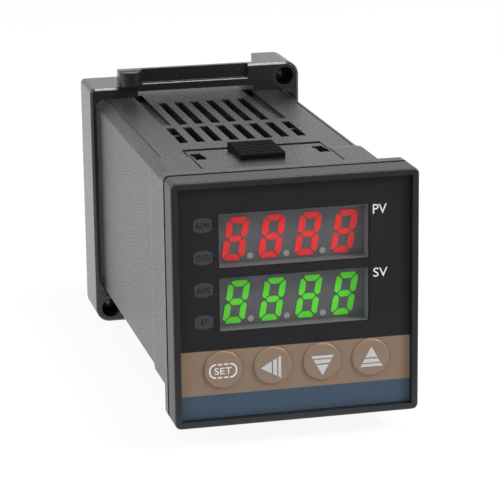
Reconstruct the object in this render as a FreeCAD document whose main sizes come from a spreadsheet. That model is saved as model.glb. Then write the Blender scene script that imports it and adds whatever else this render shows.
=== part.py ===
import FreeCAD, Part
import math
import os
import re
import Sketcher
from FreeCAD import Placement, Rotation, Vector

# Panel-mounted temperature controller of the 48 x 48 mm size class, in millimetres.
# The origin is the centre of the plane where the panel's front sheet seats on the flange.
# +X is to the right seen from the front, +Y runs back into the cabinet, +Z is up.

doc = FreeCAD.newDocument("PanelController")
sheet = doc.addObject("Spreadsheet::Sheet", "Sizes")

SIZES = [
    # Front bezel and its face
    ("face_size", 48.0, "width and height of the bezel and of the case flange"),
    ("face_corner", 1.2, "radius of the bezel's and flange's corners"),
    ("front_reach", 9.6, "bezel's front face to the panel seat"),
    ("flange_thick", 2.6, "case flange that the panel seats on"),
    ("shadow_gap", 1.15, "dark groove between the bezel and the flange"),
    ("shadow_deep", 1.1, "depth of that groove"),
    ("rim_wide", 1.3, "raised rim round the face"),
    ("rim_round", 0.45, "rounding of the rim's outer edge"),
    ("recess_deep", 1.2, "rim's front to the face film"),
    ("film_thick", 0.4, "printed face film"),
    ("film_gap", 0.1, "film's edge to the rim"),
    ("face_plate", 2.6, "bezel plate behind the film"),
    ("bezel_wall", 1.8, "side wall of the bezel"),
    ("neck_gap", 0.2, "bezel's neck to the case's cavity"),
    ("neck_wall", 1.2, "wall of the neck"),
    ("neck_reach", 6.0, "neck's rear edge behind the panel seat"),
    ("web_thick", 1.4, "rear web that carries the neck"),
    ("overshoot", 1.0, "how far an open cut runs out of its part"),
    # Display windows
    ("window_wide", 29.0, "width of a display window"),
    ("window_high", 10.35, "height of a display window"),
    ("window_shift", -0.15, "windows' centre across the face"),
    ("upper_drop", 12.0, "upper window's centre below the bezel's top"),
    ("window_spacing", 12.37, "upper window's centre to the lower one's"),
    ("lens_lip", 0.2, "lens edge that lies on the plate"),
    ("lens_gap", 0.05, "lens to the film round it"),
    # Display modules and their figures
    ("module_lip", 0.7, "module's edge hidden behind the plate"),
    ("module_deep", 6.5, "depth of a display module"),
    ("figure_high", 8.36, "height of a figure"),
    ("figure_wide", 4.28, "width of a figure, upright"),
    ("figure_spacing", 7.09, "figure to figure"),
    ("figure_count", 4, "figures in a display"),
    ("figure_lift", -0.37, "figures' centre above the window's centre"),
    ("figure_shift", -0.28, "row of figures to the right of the face's middle"),
    ("figure_cut", 0.8, "cut across a figure's corners"),
    ("stroke_wide", 1.2, "width of a segment"),
    ("stroke_gap", 0.18, "half of the gap between segments, along a bar"),
    ("stroke_shoulder", 0.43, "upright's outer corner above the middle"),
    ("figure_slant", 10.0, "slant of the figures in degrees"),
    ("stroke_proud", 0.12, "segments stand out of the module by this"),
    ("point_radius", 0.6, "radius of a decimal point"),
    ("point_side", 2.78, "decimal point right of its figure's centre"),
    ("point_drop", 3.5, "decimal point below its figure's centre"),
    # Keys and what they press
    ("key_radius", 3.75, "radius of a key's cap"),
    ("key_spacing", 9.7, "key to key"),
    ("key_count", 4, "keys in the row"),
    ("key_shift", 0.15, "row of keys to the right of the face's middle"),
    ("key_rise", 11.07, "keys' centres above the bezel's bottom"),
    ("key_proud", 0.5, "cap stands out of the film by this"),
    ("key_round", 0.45, "rounding of the cap's edge"),
    ("key_gap", 0.02, "running clearance round a cap"),
    ("key_flange", 0.65, "collar that keeps a key behind the plate"),
    ("collar_thick", 0.8, "thickness of that collar"),
    ("collar_gap", 0.05, "collar to the plate's rear at rest"),
    ("key_travel", 0.4, "stroke of a key"),
    ("switch_size", 6.0, "side of a tact switch"),
    ("plunger_radius", 1.7, "radius of a tact switch's plunger"),
    ("plunger_high", 1.2, "plunger out of its switch"),
    # Indicator lamps
    ("lamp_clear", 0.8, "lamps to the display modules"),
    ("lamp_lift", 3.4, "highest lamp above the upper window's centre"),
    ("lamp_spacing", 6.27, "lamp to lamp"),
    ("lamp_count", 4, "lamps in the column"),
    ("lamp_radius", 1.0, "radius of a lamp"),
    ("lamp_gap", 0.6, "lamp's tip to the plate"),
    # Case
    ("case_half", 22.3, "half width of the case near the flange"),
    ("tail_half", 21.95, "half width of the case behind the step"),
    ("case_length", 92.0, "case behind the panel seat"),
    ("case_corner", 1.65, "chamfer along the case's corners"),
    ("case_wall", 2.0, "wall of the case behind the step"),
    ("cavity_corner", 1.0, "chamfer inside the case's corners"),
    ("step_start", 18.7, "where the case begins to narrow"),
    ("step_length", 2.8, "length of the narrowing"),
    ("guide_side", 19.65, "guide grooves from the case's centre"),
    ("guide_wide", 0.3, "width of a guide groove"),
    ("guide_deep", 0.2, "depth of a guide groove"),
    # Vents in the top and bottom of the case
    ("vent_wide", 1.8, "width of a vent slot"),
    ("vent_spacing", 3.52, "slot to slot"),
    ("row_start", 33.4, "front row of slots"),
    ("row_length", 14.7, "length of the front row's slots"),
    ("long_start", 50.9, "rear row of slots"),
    ("long_length", 23.7, "length of the rear row's slots"),
    ("row_count", 6, "whole slots in each row"),
    ("bar_start", 42.6, "crossbar in the front row's outer slots"),
    ("bar_wide", 0.9, "width of the crossbar"),
    ("bar_drop", 0.6, "crossbar below the case's surface"),
    ("channel_inner", 11.4, "side channel's inner edge"),
    ("channel_wide", 2.1, "width of a side channel"),
    ("channel_deep", 0.8, "depth of a side channel"),
    ("channel_start", 51.1, "front end of a side channel"),
    ("channel_length", 32.8, "length of a side channel"),
    # Release tongue and its thumb tab
    ("tongue_half", 14.0, "half width of the tongue"),
    ("tongue_slit", 0.3, "slit beside the tongue"),
    ("tongue_root", 8.0, "where the tongue leaves the case's top"),
    ("tongue_length", 17.3, "length of the tongue"),
    ("tongue_gap", 1.9, "slit behind the tongue"),
    ("catch_inner", 11.4, "catch window's inner edge"),
    ("catch_wide", 2.2, "width of a catch window"),
    ("catch_start", 16.0, "front edge of a catch window"),
    ("catch_length", 7.0, "length of a catch window"),
    ("tab_half", 4.5, "half width of the thumb tab"),
    ("tab_shift", -0.8, "thumb tab to the right of the case's middle"),
    ("tab_start", 13.4, "front of the thumb tab"),
    ("tab_rise", 1.15, "thumb tab above the case's top"),
    ("tab_bevel", 0.3, "bevel of the tab's front and rear edges"),
    ("rib_spacing", 1.3, "rib to rib on the thumb tab"),
    ("rib_count", 8, "grooves between the ribs"),
    ("rib_deep", 0.3, "depth of those grooves"),
    # Latch arms moulded on the bezel
    ("arm_thick", 1.6, "latch arm"),
    ("arm_root", 2.0, "latch arm's root inside the neck"),
    ("arm_drop", 0.75, "latch arm's back below the cavity's top"),
    ("hook_gap", 0.12, "hook's tip to the inside of the case"),
    # Mounting bracket
    ("bracket_front", 79.7, "bracket's front behind the panel seat, as fitted"),
    ("bracket_deep", 12.8, "depth of the bracket"),
    ("bracket_wall", 1.2, "side wall of the bracket"),
    ("roof_thick", 1.15, "bracket's roof over the relief"),
    ("plate_rise", 3.7, "raised plate above the bracket's roof"),
    ("plate_thick", 2.3, "thickness of the raised plate"),
    ("plate_short", 6.45, "raised plate's free end in from the bracket's side"),
    ("bracket_gap", 0.15, "bracket to the widest part of the case"),
    ("bracket_corner", 1.2, "chamfer inside the bracket's corners"),
    ("relief_half", 13.0, "half width of the relief over the thumb tab"),
    ("relief_gap", 0.3, "relief above the thumb tab"),
    ("ledge_half", 12.0, "half width of the plate's ledge"),
    ("ledge_rise", 0.6, "ledge above the bracket's roof"),
    ("ledge_deep", 1.2, "depth of the ledge"),
    ("ledge_bevel", 0.2, "bevel of the ledge's front edge"),
    ("post_radius", 2.4, "radius of the round post at the plate's end"),
    ("post_lift", 0.3, "lower end of the post above the bracket's roof"),
    ("post_drop", 0.2, "upper end of the post below the plate's top"),
    ("boss_wall", 2.6, "wall of the screw boss beside the screw"),
    ("raised_round", 3.0, "radius of the raised corners"),
    ("low_round", 1.0, "radius of the low corners"),
    ("front_bevel", 0.5, "bevel of the bracket's front edge"),
    # Clamp screws
    ("clamp_inset", 3.25, "clamp screw's axis in from the bracket's side"),
    ("clamp_rise", 0.5, "clamp screw's axis above the bracket's roof"),
    ("clamp_radius", 2.0, "radius of a clamp screw"),
    ("clamp_gap", 0.05, "clamp screw to its bore"),
    ("clamp_length", 8.0, "length of a clamp screw"),
    ("clamp_back", 4.3, "screw's tip behind the bracket's front, as fitted"),
    ("cone_length", 1.5, "cone point of the screw"),
    ("cone_flat", 0.35, "radius of the point's flat end"),
    ("driver_wide", 0.6, "screwdriver slot"),
    ("driver_deep", 1.1, "depth of the screwdriver slot"),
    # Rear terminal block
    ("spigot_reach", 6.0, "block's spigot inside the case"),
    ("spigot_gap", 0.15, "spigot to the cavity"),
    ("spigot_wall", 2.4, "wall of the spigot"),
    ("block_inset", 0.3, "block's plate in from the case's outside"),
    ("block_plate", 3.0, "block's plate behind the case"),
    ("block_web", 1.5, "block's plate inside the case"),
    ("block_round", 0.5, "rounding of the block's corners"),
    ("spine_half", 8.5, "half width of the block's middle"),
    ("spine_high", 3.6, "block's middle above the terminal floor"),
    ("fin_high", 5.4, "barrier between two terminals"),
    ("fin_thick", 1.3, "thickness of a barrier"),
    ("terminal_spacing", 8.0, "terminal to terminal"),
    ("terminal_count", 5, "terminals in a column"),
    ("terminal_side", 15.5, "terminal screws from the middle"),
    ("strip_thick", 0.8, "contact strip on the terminal floor"),
    ("strip_high", 6.2, "width of a contact strip"),
    ("strip_length", 10.2, "length of a contact strip"),
    ("blade_thick", 0.4, "contact blade"),
    ("blade_high", 3.0, "width of a contact blade"),
    ("blade_reach", 5.5, "blade along the board"),
    ("blade_gap", 0.05, "blade to the board"),
    ("blade_slot", 0.1, "clearance round a blade in the block"),
    ("washer_side", 6.0, "side of a clamp washer"),
    ("washer_thick", 0.9, "thickness of a clamp washer"),
    ("screw_radius", 1.75, "radius of a terminal screw"),
    ("screw_gap", 0.05, "terminal screw to its hole"),
    ("screw_length", 5.2, "terminal screw under its head"),
    ("head_radius", 2.9, "radius of a terminal screw's head"),
    ("head_high", 1.8, "height of the head"),
    ("head_round", 0.5, "rounding of the head"),
    ("cross_wide", 0.8, "width of the cross recess"),
    ("cross_long", 3.6, "length of the cross recess"),
    ("cross_deep", 1.0, "depth of the cross recess"),
    # Circuit boards and what stands on them
    ("board_thick", 1.6, "circuit boards"),
    ("board_edge", 0.35, "boards to the inside of the neck"),
    ("board_high", 34.0, "height of the two long boards"),
    ("board_stop", 0.5, "long boards' rear end to the terminal block"),
    ("tie_start", 72.0, "cross tie between the long boards"),
    ("tie_wide", 3.0, "length of the cross tie"),
    ("tie_high", 9.0, "height of the cross tie"),
    ("tie_waist", 3.0, "height of the cross tie between its ends"),
    ("tie_foot", 3.0, "width of the cross tie's ends"),
    ("coil_start", 43.0, "transformer's coil"),
    ("coil_length", 10.0, "coil along the case"),
    ("coil_high", 17.0, "height of the coil"),
    ("coil_tall", 13.6, "coil out of its board"),
    ("core_arm", 3.0, "leg of the transformer's core"),
    ("core_thick", 6.0, "thickness of the core"),
    ("core_base", 3.4, "core above the board"),
    ("relay_start", 51.0, "relay"),
    ("relay_length", 19.0, "relay along the case"),
    ("relay_high", 15.4, "height of the relay"),
    ("relay_tall", 15.2, "relay out of its board"),
    ("relay_base", 1.5, "relay's lower side above the middle"),
    ("can_radius", 5.0, "radius of the large capacitor"),
    ("can_tall", 16.0, "large capacitor out of its board"),
    ("can_start", 28.0, "large capacitor's axis"),
    ("can_height", 9.5, "large capacitor's axis above the middle"),
    ("can_round", 0.6, "rounding of the capacitors' ends"),
    ("small_can", 0.8, "small capacitor's share of the large one"),
    ("small_drop", 17.5, "small capacitor below the large one"),
    ("chip_tall", 2.4, "chips out of their board"),
    ("chip_start", 14.0, "first chip"),
    ("chip_length", 14.0, "length of a chip"),
    ("chip_high", 6.4, "width of a chip"),
    ("chip_spacing", 18.0, "chip to chip"),
    ("chip_count", 2, "chips in the row"),
    ("chip_height", -9.0, "chips' centre above the middle"),
]

for row, (alias, number, note) in enumerate(SIZES, start=1):
    sheet.set(f"A{row}", alias)
    sheet.set(f"B{row}", str(number))
    sheet.setAlias(f"B{row}", alias)
    sheet.set(f"C{row}", note)
doc.recompute()

NAMES = {alias for alias, number, note in SIZES}


# ---------------------------------------------------------------- helpers

def size(alias):
    return float(sheet.get(alias))


def tied(text):
    # An expression in which each size's name points at its cell in the sheet.
    return re.sub(r"[a-z_]+", lambda word: ("Sizes." if word.group() in NAMES else "") + word.group(), text)


def newBody(label):
    body = doc.addObject("PartDesign::Body", label)
    body.Label = label
    return body


def originItem(body, role):
    return next(item for item in body.Origin.OriginFeatures if item.Role == role)


def newSketch(body, name, role, offset):
    sketch = body.newObject("Sketcher::SketchObject", body.Label + "_" + name)
    sketch.AttachmentSupport = [(originItem(body, role), "")]
    sketch.MapMode = "FlatFace"
    sketch.setExpression("AttachmentOffset.Base.z", tied(offset))
    return sketch


def station(body, name, y):
    # Sketch of a section across the case, drawn as (x, z).
    return newSketch(body, name, "XZ_Plane", f"-({y})")


def plan(body, name, z):
    # Sketch seen from above, drawn as (x, y).
    return newSketch(body, name, "XY_Plane", z)


def side(body, name, x):
    # Sketch seen from the side, drawn as (y, z).
    return newSketch(body, name, "YZ_Plane", x)


def bind(sketch, kind, items, start, text):
    index = sketch.addConstraint(Sketcher.Constraint(kind, *items, start))
    sketch.setExpression(f"Constraints[{index}]", tied(text))


def loop(sketch, corners):
    # Closed outline whose corners are held by two sizes each.
    count = len(corners)
    first = sketch.GeometryCount
    turn = 2 * math.pi / count
    start = [Vector(math.cos(i * turn), math.sin(i * turn), 0) for i in range(count)]
    sketch.addGeometry([Part.LineSegment(start[i], start[(i + 1) % count]) for i in range(count)])
    for i in range(count):
        sketch.addConstraint(Sketcher.Constraint("Coincident", first + i, 2, first + (i + 1) % count, 1))
    for i, (across, up) in enumerate(corners):
        bind(sketch, "DistanceX", (-1, 1, first + i, 1), start[i].x, across)
        bind(sketch, "DistanceY", (-1, 1, first + i, 1), start[i].y, up)


def rectangle(sketch, left, right, low, high):
    loop(sketch, [(left, low), (right, low), (right, high), (left, high)])


def square(sketch, half, cut):
    # Square about the axis with chamfered corners.
    loop(sketch, [(f"-({half})", f"-({half}) + {cut}"), (f"-({half}) + {cut}", f"-({half})"),
                  (f"{half} - {cut}", f"-({half})"), (half, f"-({half}) + {cut}"),
                  (half, f"{half} - {cut}"), (f"{half} - {cut}", half),
                  (f"-({half}) + {cut}", half), (f"-({half})", f"{half} - {cut}")])


def circle(sketch, across, up, radius):
    index = sketch.addGeometry(Part.Circle(Vector(1, 1, 0), Vector(0, 0, 1), 1))
    bind(sketch, "DistanceX", (-1, 1, index, 3), 1, across)
    bind(sketch, "DistanceY", (-1, 1, index, 3), 1, up)
    bind(sketch, "Radius", (index,), 1, radius)


def pad(body, sketch, length):
    # Grows rearwards from a station, upwards from a plan and to the right from a side.
    feature = body.newObject("PartDesign::Pad", sketch.Name + "_pad")
    feature.Profile = sketch
    feature.setExpression("Length", tied(length))
    feature.Reversed = "XZ" in sketch.AttachmentSupport[0][0].Role
    return feature


def pocket(body, sketch, length=None, up=False):
    # Cuts rearwards from a station, and downwards from a plan unless up is set.
    feature = body.newObject("PartDesign::Pocket", sketch.Name + "_cut")
    feature.Profile = sketch
    if length is None:
        feature.Type = "ThroughAll"
    else:
        feature.setExpression("Length", tied(length))
    feature.Reversed = up
    before = body.Shape.Volume
    doc.recompute()
    if not feature.Shape.Volume < before:
        raise RuntimeError(f"{feature.Name} cuts nothing")
    return feature


def repeat(body, feature, axis, length, count):
    pattern = body.newObject("PartDesign::LinearPattern", feature.Name + "_row")
    pattern.Originals = [feature]
    pattern.Direction = (originItem(body, axis), [""])
    pattern.setExpression("Length", tied(length))
    pattern.setExpression("Occurrences", tied(count))
    body.Tip = pattern
    doc.recompute()
    return pattern


def edgesWhere(shape, test):
    return [f"Edge{i}" for i, edge in enumerate(shape.Edges, start=1) if test(edge)]


def along(edge, axis):
    # True for a straight edge that runs along the given axis, 0, 1 or 2.
    ends = [vertex.Point for vertex in edge.Vertexes]
    if len(ends) < 2:
        return False
    run = ends[1] - ends[0]
    return abs(run[axis]) > 0.999 * run.Length and abs(edge.Length - run.Length) < 1e-6


def near(value, target):
    return abs(value - target) < 0.01


def dress(body, kind, radius, test):
    # Fillet or chamfer on the edges of the body that pass the test.
    doc.recompute()
    base = body.Tip
    feature = body.newObject("PartDesign::" + kind, f"{body.Label}_{kind}_{radius}")
    feature.Base = (base, edgesWhere(base.Shape, test))
    feature.setExpression("Radius" if kind == "Fillet" else "Size", tied(radius))
    doc.recompute()
    return feature


def place(item, x=None, y=None, z=None):
    # Ties the axes that are given; the others stay at the origin.
    for letter, text in zip("xyz", (x, y, z)):
        if text is not None:
            item.setExpression(f"Placement.Base.{letter}", tied(text))


def solids(label, shapes):
    # One node made of several like solids.
    item = doc.addObject("Part::Feature", label)
    item.Label = label
    item.Shape = Part.makeCompound(shapes)
    item.Placement = Placement()
    return item


def block(x, y, z):
    # Box between two limits on each axis.
    low = Vector(min(x), min(y), min(z))
    return Part.makeBox(max(x) - min(x), max(y) - min(y), max(z) - min(z), low)


def drum(radius, start, length, x, z):
    # Cylinder that runs rearwards.
    return Part.makeCylinder(radius, length, Vector(x, start, z), Vector(0, 1, 0))


# Places that several pieces share
FRONT = "-front_reach"
FILM = "(-front_reach + recess_deep)"
PLATE = "(-front_reach + recess_deep + film_thick)"
MODULE = "(-front_reach + recess_deep + film_thick + face_plate)"
BEZEL_BACK = "(-flange_thick - shadow_gap)"
BOARD = "(-front_reach + recess_deep + film_thick + face_plate + module_deep)"
CAVITY = "(tail_half - case_wall)"
NECK = "(tail_half - case_wall - neck_gap)"
NECK_INSIDE = "(tail_half - case_wall - neck_gap - neck_wall)"
BOARD_OUT = "(tail_half - case_wall - neck_gap - neck_wall - board_edge)"
BOARD_IN = "(tail_half - case_wall - neck_gap - neck_wall - board_edge - board_thick)"
TONGUE_END = "(tongue_root + tongue_length)"
STEP_END = "(step_start + step_length)"
RING = "(case_half + bracket_gap)"
BRACKET = "(case_half + bracket_gap + bracket_wall)"
TAB_TOP = "(case_half + tab_rise)"
ROOF = "(case_half + tab_rise + relief_gap + roof_thick)"
PLATE_TOP = "(case_half + tab_rise + relief_gap + roof_thick + plate_rise)"
LEDGE = f"({ROOF} + ledge_rise)"
POST_LOW = f"({ROOF} + post_lift)"
POST_TOP = f"({PLATE_TOP} - post_drop)"
POST_SIDE = f"({BRACKET} - plate_short - post_radius)"
CLAMP_SIDE = f"({BRACKET} - clamp_inset)"
CLAMP_LEVEL = f"({ROOF} + clamp_rise)"
BOSS_INNER = f"({BRACKET} - clamp_inset - clamp_radius - boss_wall)"
FLOOR = "(case_length + block_plate)"
BOARD_END = "(case_length - spigot_reach - board_stop)"
WINDOW_LEFT = "window_shift - window_wide / 2"
WINDOW_RIGHT = "window_shift + window_wide / 2"
UPPER = "(face_size / 2 - upper_drop)"
LOWER = "(face_size / 2 - upper_drop - window_spacing)"
LAMP_SIDE = f"({WINDOW_LEFT} - module_lip - lamp_clear - lamp_radius)"
LAMP_TOP = f"({UPPER} + lamp_lift)"
KEY_LEVEL = "(-face_size / 2 + key_rise)"


# ---------------------------------------------------------------- case

def makeCase():
    body = newBody("case_shell")
    flange = station(body, "flange", "-flange_thick")
    rectangle(flange, "-face_size / 2", "face_size / 2", "-face_size / 2", "face_size / 2")
    pad(body, flange, "flange_thick")
    half = size("face_size") / 2
    dress(body, "Fillet", "face_corner",
          lambda edge: along(edge, 1) and near(abs(edge.CenterOfMass.x), half))
    head = station(body, "head", "0")
    square(head, "case_half", "case_corner")
    pad(body, head, "step_start")
    wide = station(body, "wide", "step_start")
    square(wide, "case_half", "case_corner")
    narrow = station(body, "narrow", STEP_END)
    square(narrow, "tail_half", "case_corner")
    step = body.newObject("PartDesign::AdditiveLoft", "case_step")
    step.Profile = wide
    step.Sections = [narrow]
    step.Ruled = True
    tail = station(body, "tail", STEP_END)
    square(tail, "tail_half", "case_corner")
    pad(body, tail, f"case_length - {STEP_END}")
    doc.recompute()

    cavity = station(body, "cavity", "-flange_thick")
    square(cavity, CAVITY, "cavity_corner")
    pocket(body, cavity)

    # Opening for the release tongue, in the top only
    opening = plan(body, "tongue_opening", "case_half")
    rectangle(opening, "-tongue_half - tongue_slit", "tongue_half + tongue_slit",
              "tongue_root", f"{TONGUE_END} + tongue_gap")
    pocket(body, opening, f"case_half - {CAVITY}")

    # Two rows of slots, through the top and the bottom
    for name, start, length in (("row", "row_start", "row_length"), ("long", "long_start", "long_length")):
        slot = plan(body, name, "case_half")
        first = "-(row_count - 1) / 2 * vent_spacing"
        rectangle(slot, f"{first} - vent_wide / 2", f"{first} + vent_wide / 2", start, f"{start} + {length}")
        repeat(body, pocket(body, slot), "X_Axis", "(row_count - 1) * vent_spacing", "row_count")

    # The front row's outer slots, each with a sunk crossbar
    for name, sign in (("left", "-"), ("right", "")):
        middle = f"{sign}(row_count + 1) / 2 * vent_spacing"
        ends = (f"{middle} - vent_wide / 2", f"{middle} + vent_wide / 2")
        slot = plan(body, name + "_outer", "case_half")
        rectangle(slot, *ends, "row_start", "bar_start")
        rectangle(slot, *ends, "bar_start + bar_wide", "row_start + row_length")
        pocket(body, slot)
        dip = plan(body, name + "_bar", "tail_half")
        rectangle(dip, *ends, "bar_start", "bar_start + bar_wide")
        pocket(body, dip, "bar_drop")

    # Shallow side channels beside the rear row, top and bottom
    for name, level, up in (("top", "tail_half", False), ("bottom", "-tail_half", True)):
        channel = plan(body, name + "_channels", level)
        ends = ("channel_start", "channel_start + channel_length")
        rectangle(channel, "-channel_inner - channel_wide", "-channel_inner", *ends)
        rectangle(channel, "channel_inner", "channel_inner + channel_wide", *ends)
        pocket(body, channel, "channel_deep", up)

    # Guide grooves along the corners behind the step
    guides = station(body, "guides", STEP_END)
    for x in ("-guide_side", "guide_side"):
        for low, high in (("tail_half - guide_deep", "tail_half + overshoot"),
                          ("-tail_half - overshoot", "-tail_half + guide_deep")):
            rectangle(guides, f"{x} - guide_wide / 2", f"{x} + guide_wide / 2", low, high)
    pocket(body, guides, f"case_length - {STEP_END}")
    return body


def makeTongue():
    body = newBody("release_tongue")
    outline = side(body, "outline", "-tongue_half")
    loop(outline, [("tongue_root", CAVITY), ("tongue_root", "case_half"), ("step_start", "case_half"),
                   (STEP_END, "tail_half"), (TONGUE_END, "tail_half"), (TONGUE_END, CAVITY)])
    pad(body, outline, "2 * tongue_half")
    doc.recompute()
    catches = plan(body, "catches", "case_half")
    ends = ("catch_start", "catch_start + catch_length")
    rectangle(catches, "-catch_inner - catch_wide", "-catch_inner", *ends)
    rectangle(catches, "catch_inner", "catch_inner + catch_wide", *ends)
    pocket(body, catches)
    return body


def makeTab():
    # The tab follows the case's step down to the tongue's end.
    body = newBody("release_tab")
    outline = side(body, "outline", "tab_shift - tab_half")
    loop(outline, [("tab_start", "case_half"), ("step_start", "case_half"), (STEP_END, "tail_half"),
                   (TONGUE_END, "tail_half"), (TONGUE_END, f"{TAB_TOP} - tab_bevel"),
                   (f"{TONGUE_END} - tab_bevel", TAB_TOP), ("tab_start + tab_bevel", TAB_TOP),
                   ("tab_start", f"{TAB_TOP} - tab_bevel")])
    pad(body, outline, "2 * tab_half")
    doc.recompute()
    groove = plan(body, "groove", TAB_TOP)
    left, right = "tab_shift - tab_half - overshoot", "tab_shift + tab_half + overshoot"
    start = "tab_start + tab_bevel + rib_spacing / 2"
    rectangle(groove, left, right, start, f"{start} + rib_spacing / 2")
    repeat(body, pocket(body, groove, "rib_deep"), "Y_Axis", "(rib_count - 1) * rib_spacing", "rib_count")
    return body


# ---------------------------------------------------------------- terminals

def terminalHeights():
    count = int(size("terminal_count"))
    return [(i - (count - 1) / 2) * size("terminal_spacing") for i in range(count)]


def terminalRows():
    # Side sign and height of each terminal.
    return [(sign, z) for sign in (-1, 1) for z in terminalHeights()]


def makeTerminalBlock():
    body = newBody("terminal_block")
    spigot = station(body, "spigot", "case_length - spigot_reach")
    square(spigot, f"({CAVITY} - spigot_gap)", "cavity_corner")
    pad(body, spigot, "spigot_reach")
    base = station(body, "base", "case_length")
    square(base, "(tail_half - block_inset)", "case_corner")
    pad(body, base, "block_plate")
    spine = station(body, "spine", FLOOR)
    rectangle(spine, "-spine_half", "spine_half",
              "-terminal_count / 2 * terminal_spacing", "terminal_count / 2 * terminal_spacing")
    pad(body, spine, "spine_high")
    doc.recompute()

    hollow = station(body, "hollow", "case_length - spigot_reach")
    square(hollow, f"({CAVITY} - spigot_gap - spigot_wall)", "cavity_corner")
    pocket(body, hollow, "spigot_reach - block_web")

    # Barriers between the terminals
    fin = station(body, "fin", FLOOR)
    low = "-terminal_count / 2 * terminal_spacing - fin_thick / 2"
    high = "-terminal_count / 2 * terminal_spacing + fin_thick / 2"
    rectangle(fin, "-(tail_half - block_inset)", "-spine_half + block_round", low, high)
    rectangle(fin, "spine_half - block_round", "tail_half - block_inset", low, high)
    fins = pad(body, fin, "fin_high")
    doc.recompute()
    repeat(body, fins, "Z_Axis", "terminal_count * terminal_spacing", "terminal_count + 1")

    # Screw holes and blade slots, one pair of each per row
    lowest = "-(terminal_count - 1) / 2 * terminal_spacing"
    run = "(terminal_count - 1) * terminal_spacing"
    through = f"{FLOOR} - case_length + spigot_reach"
    holes = station(body, "holes", "case_length - spigot_reach")
    for x in ("-terminal_side", "terminal_side"):
        circle(holes, x, lowest, "screw_radius + screw_gap")
    repeat(body, pocket(body, holes, through), "Z_Axis", run, "terminal_count")
    slots = station(body, "slots", "case_length - spigot_reach")
    inner = f"{BOARD_OUT} + blade_gap - blade_slot"
    outer = f"{BOARD_OUT} + blade_gap + blade_thick + blade_slot"
    for left, right in ((f"-({outer})", f"-({inner})"), (inner, outer)):
        rectangle(slots, left, right, f"{lowest} - blade_high / 2 - blade_slot",
                  f"{lowest} + blade_high / 2 + blade_slot")
    repeat(body, pocket(body, slots, through), "Z_Axis", run, "terminal_count")
    return body


def boardOut():
    # Outer face of the two long boards, which the contact blades touch.
    inside = size("tail_half") - size("case_wall") - size("neck_gap") - size("neck_wall")
    return inside - size("board_edge")


def makeContacts():
    # Each contact is a flat strip under the screw and a blade that runs forward to its board.
    floor = size("case_length") + size("block_plate")
    tip = size("case_length") - size("spigot_reach") - size("board_stop") - size("blade_reach")
    middle = size("terminal_side")
    hole = size("screw_radius") + size("screw_gap")
    contacts = []
    for sign, z in terminalRows():
        ends = [sign * (middle - size("strip_length") / 2), sign * (middle + size("strip_length") / 2)]
        strip = block(ends, [floor, floor + size("strip_thick")],
                      [z - size("strip_high") / 2, z + size("strip_high") / 2])
        strip = strip.cut(drum(hole, floor, size("strip_thick"), sign * middle, z))
        near_board = boardOut() + size("blade_gap")
        blade = block([sign * near_board, sign * (near_board + size("blade_thick"))], [tip, floor],
                      [z - size("blade_high") / 2, z + size("blade_high") / 2])
        contacts.append(strip.fuse(blade).removeSplitter())
    return solids("terminal_contacts", contacts)


def makeWashers():
    start = size("case_length") + size("block_plate") + size("strip_thick")
    half = size("washer_side") / 2
    washers = []
    for sign, z in terminalRows():
        x = sign * size("terminal_side")
        plate = block([x - half, x + half], [start, start + size("washer_thick")], [z - half, z + half])
        hole = drum(size("screw_radius") + size("screw_gap"), start, size("washer_thick"), x, z)
        washers.append(plate.cut(hole))
    return solids("clamp_washers", washers)


def makeTerminalScrews():
    seat = size("case_length") + size("block_plate") + size("strip_thick") + size("washer_thick")
    top = seat + size("head_high")
    screws = []
    for sign, z in terminalRows():
        x = sign * size("terminal_side")
        head = drum(size("head_radius"), seat, size("head_high"), x, z)
        rim = [edge for edge in head.Edges if near(edge.CenterOfMass.y, top)]
        head = head.makeFillet(size("head_round"), rim)
        screw = head.fuse(drum(size("screw_radius"), seat - size("screw_length"), size("screw_length"), x, z))
        long, wide = size("cross_long") / 2, size("cross_wide") / 2
        depth = [top - size("cross_deep"), top]
        cross = block([x - long, x + long], depth, [z - wide, z + wide])
        cross = cross.fuse(block([x - wide, x + wide], depth, [z - long, z + long]))
        screws.append(screw.cut(cross))
    return solids("terminal_screws", screws)


# ---------------------------------------------------------------- mounting bracket

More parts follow.
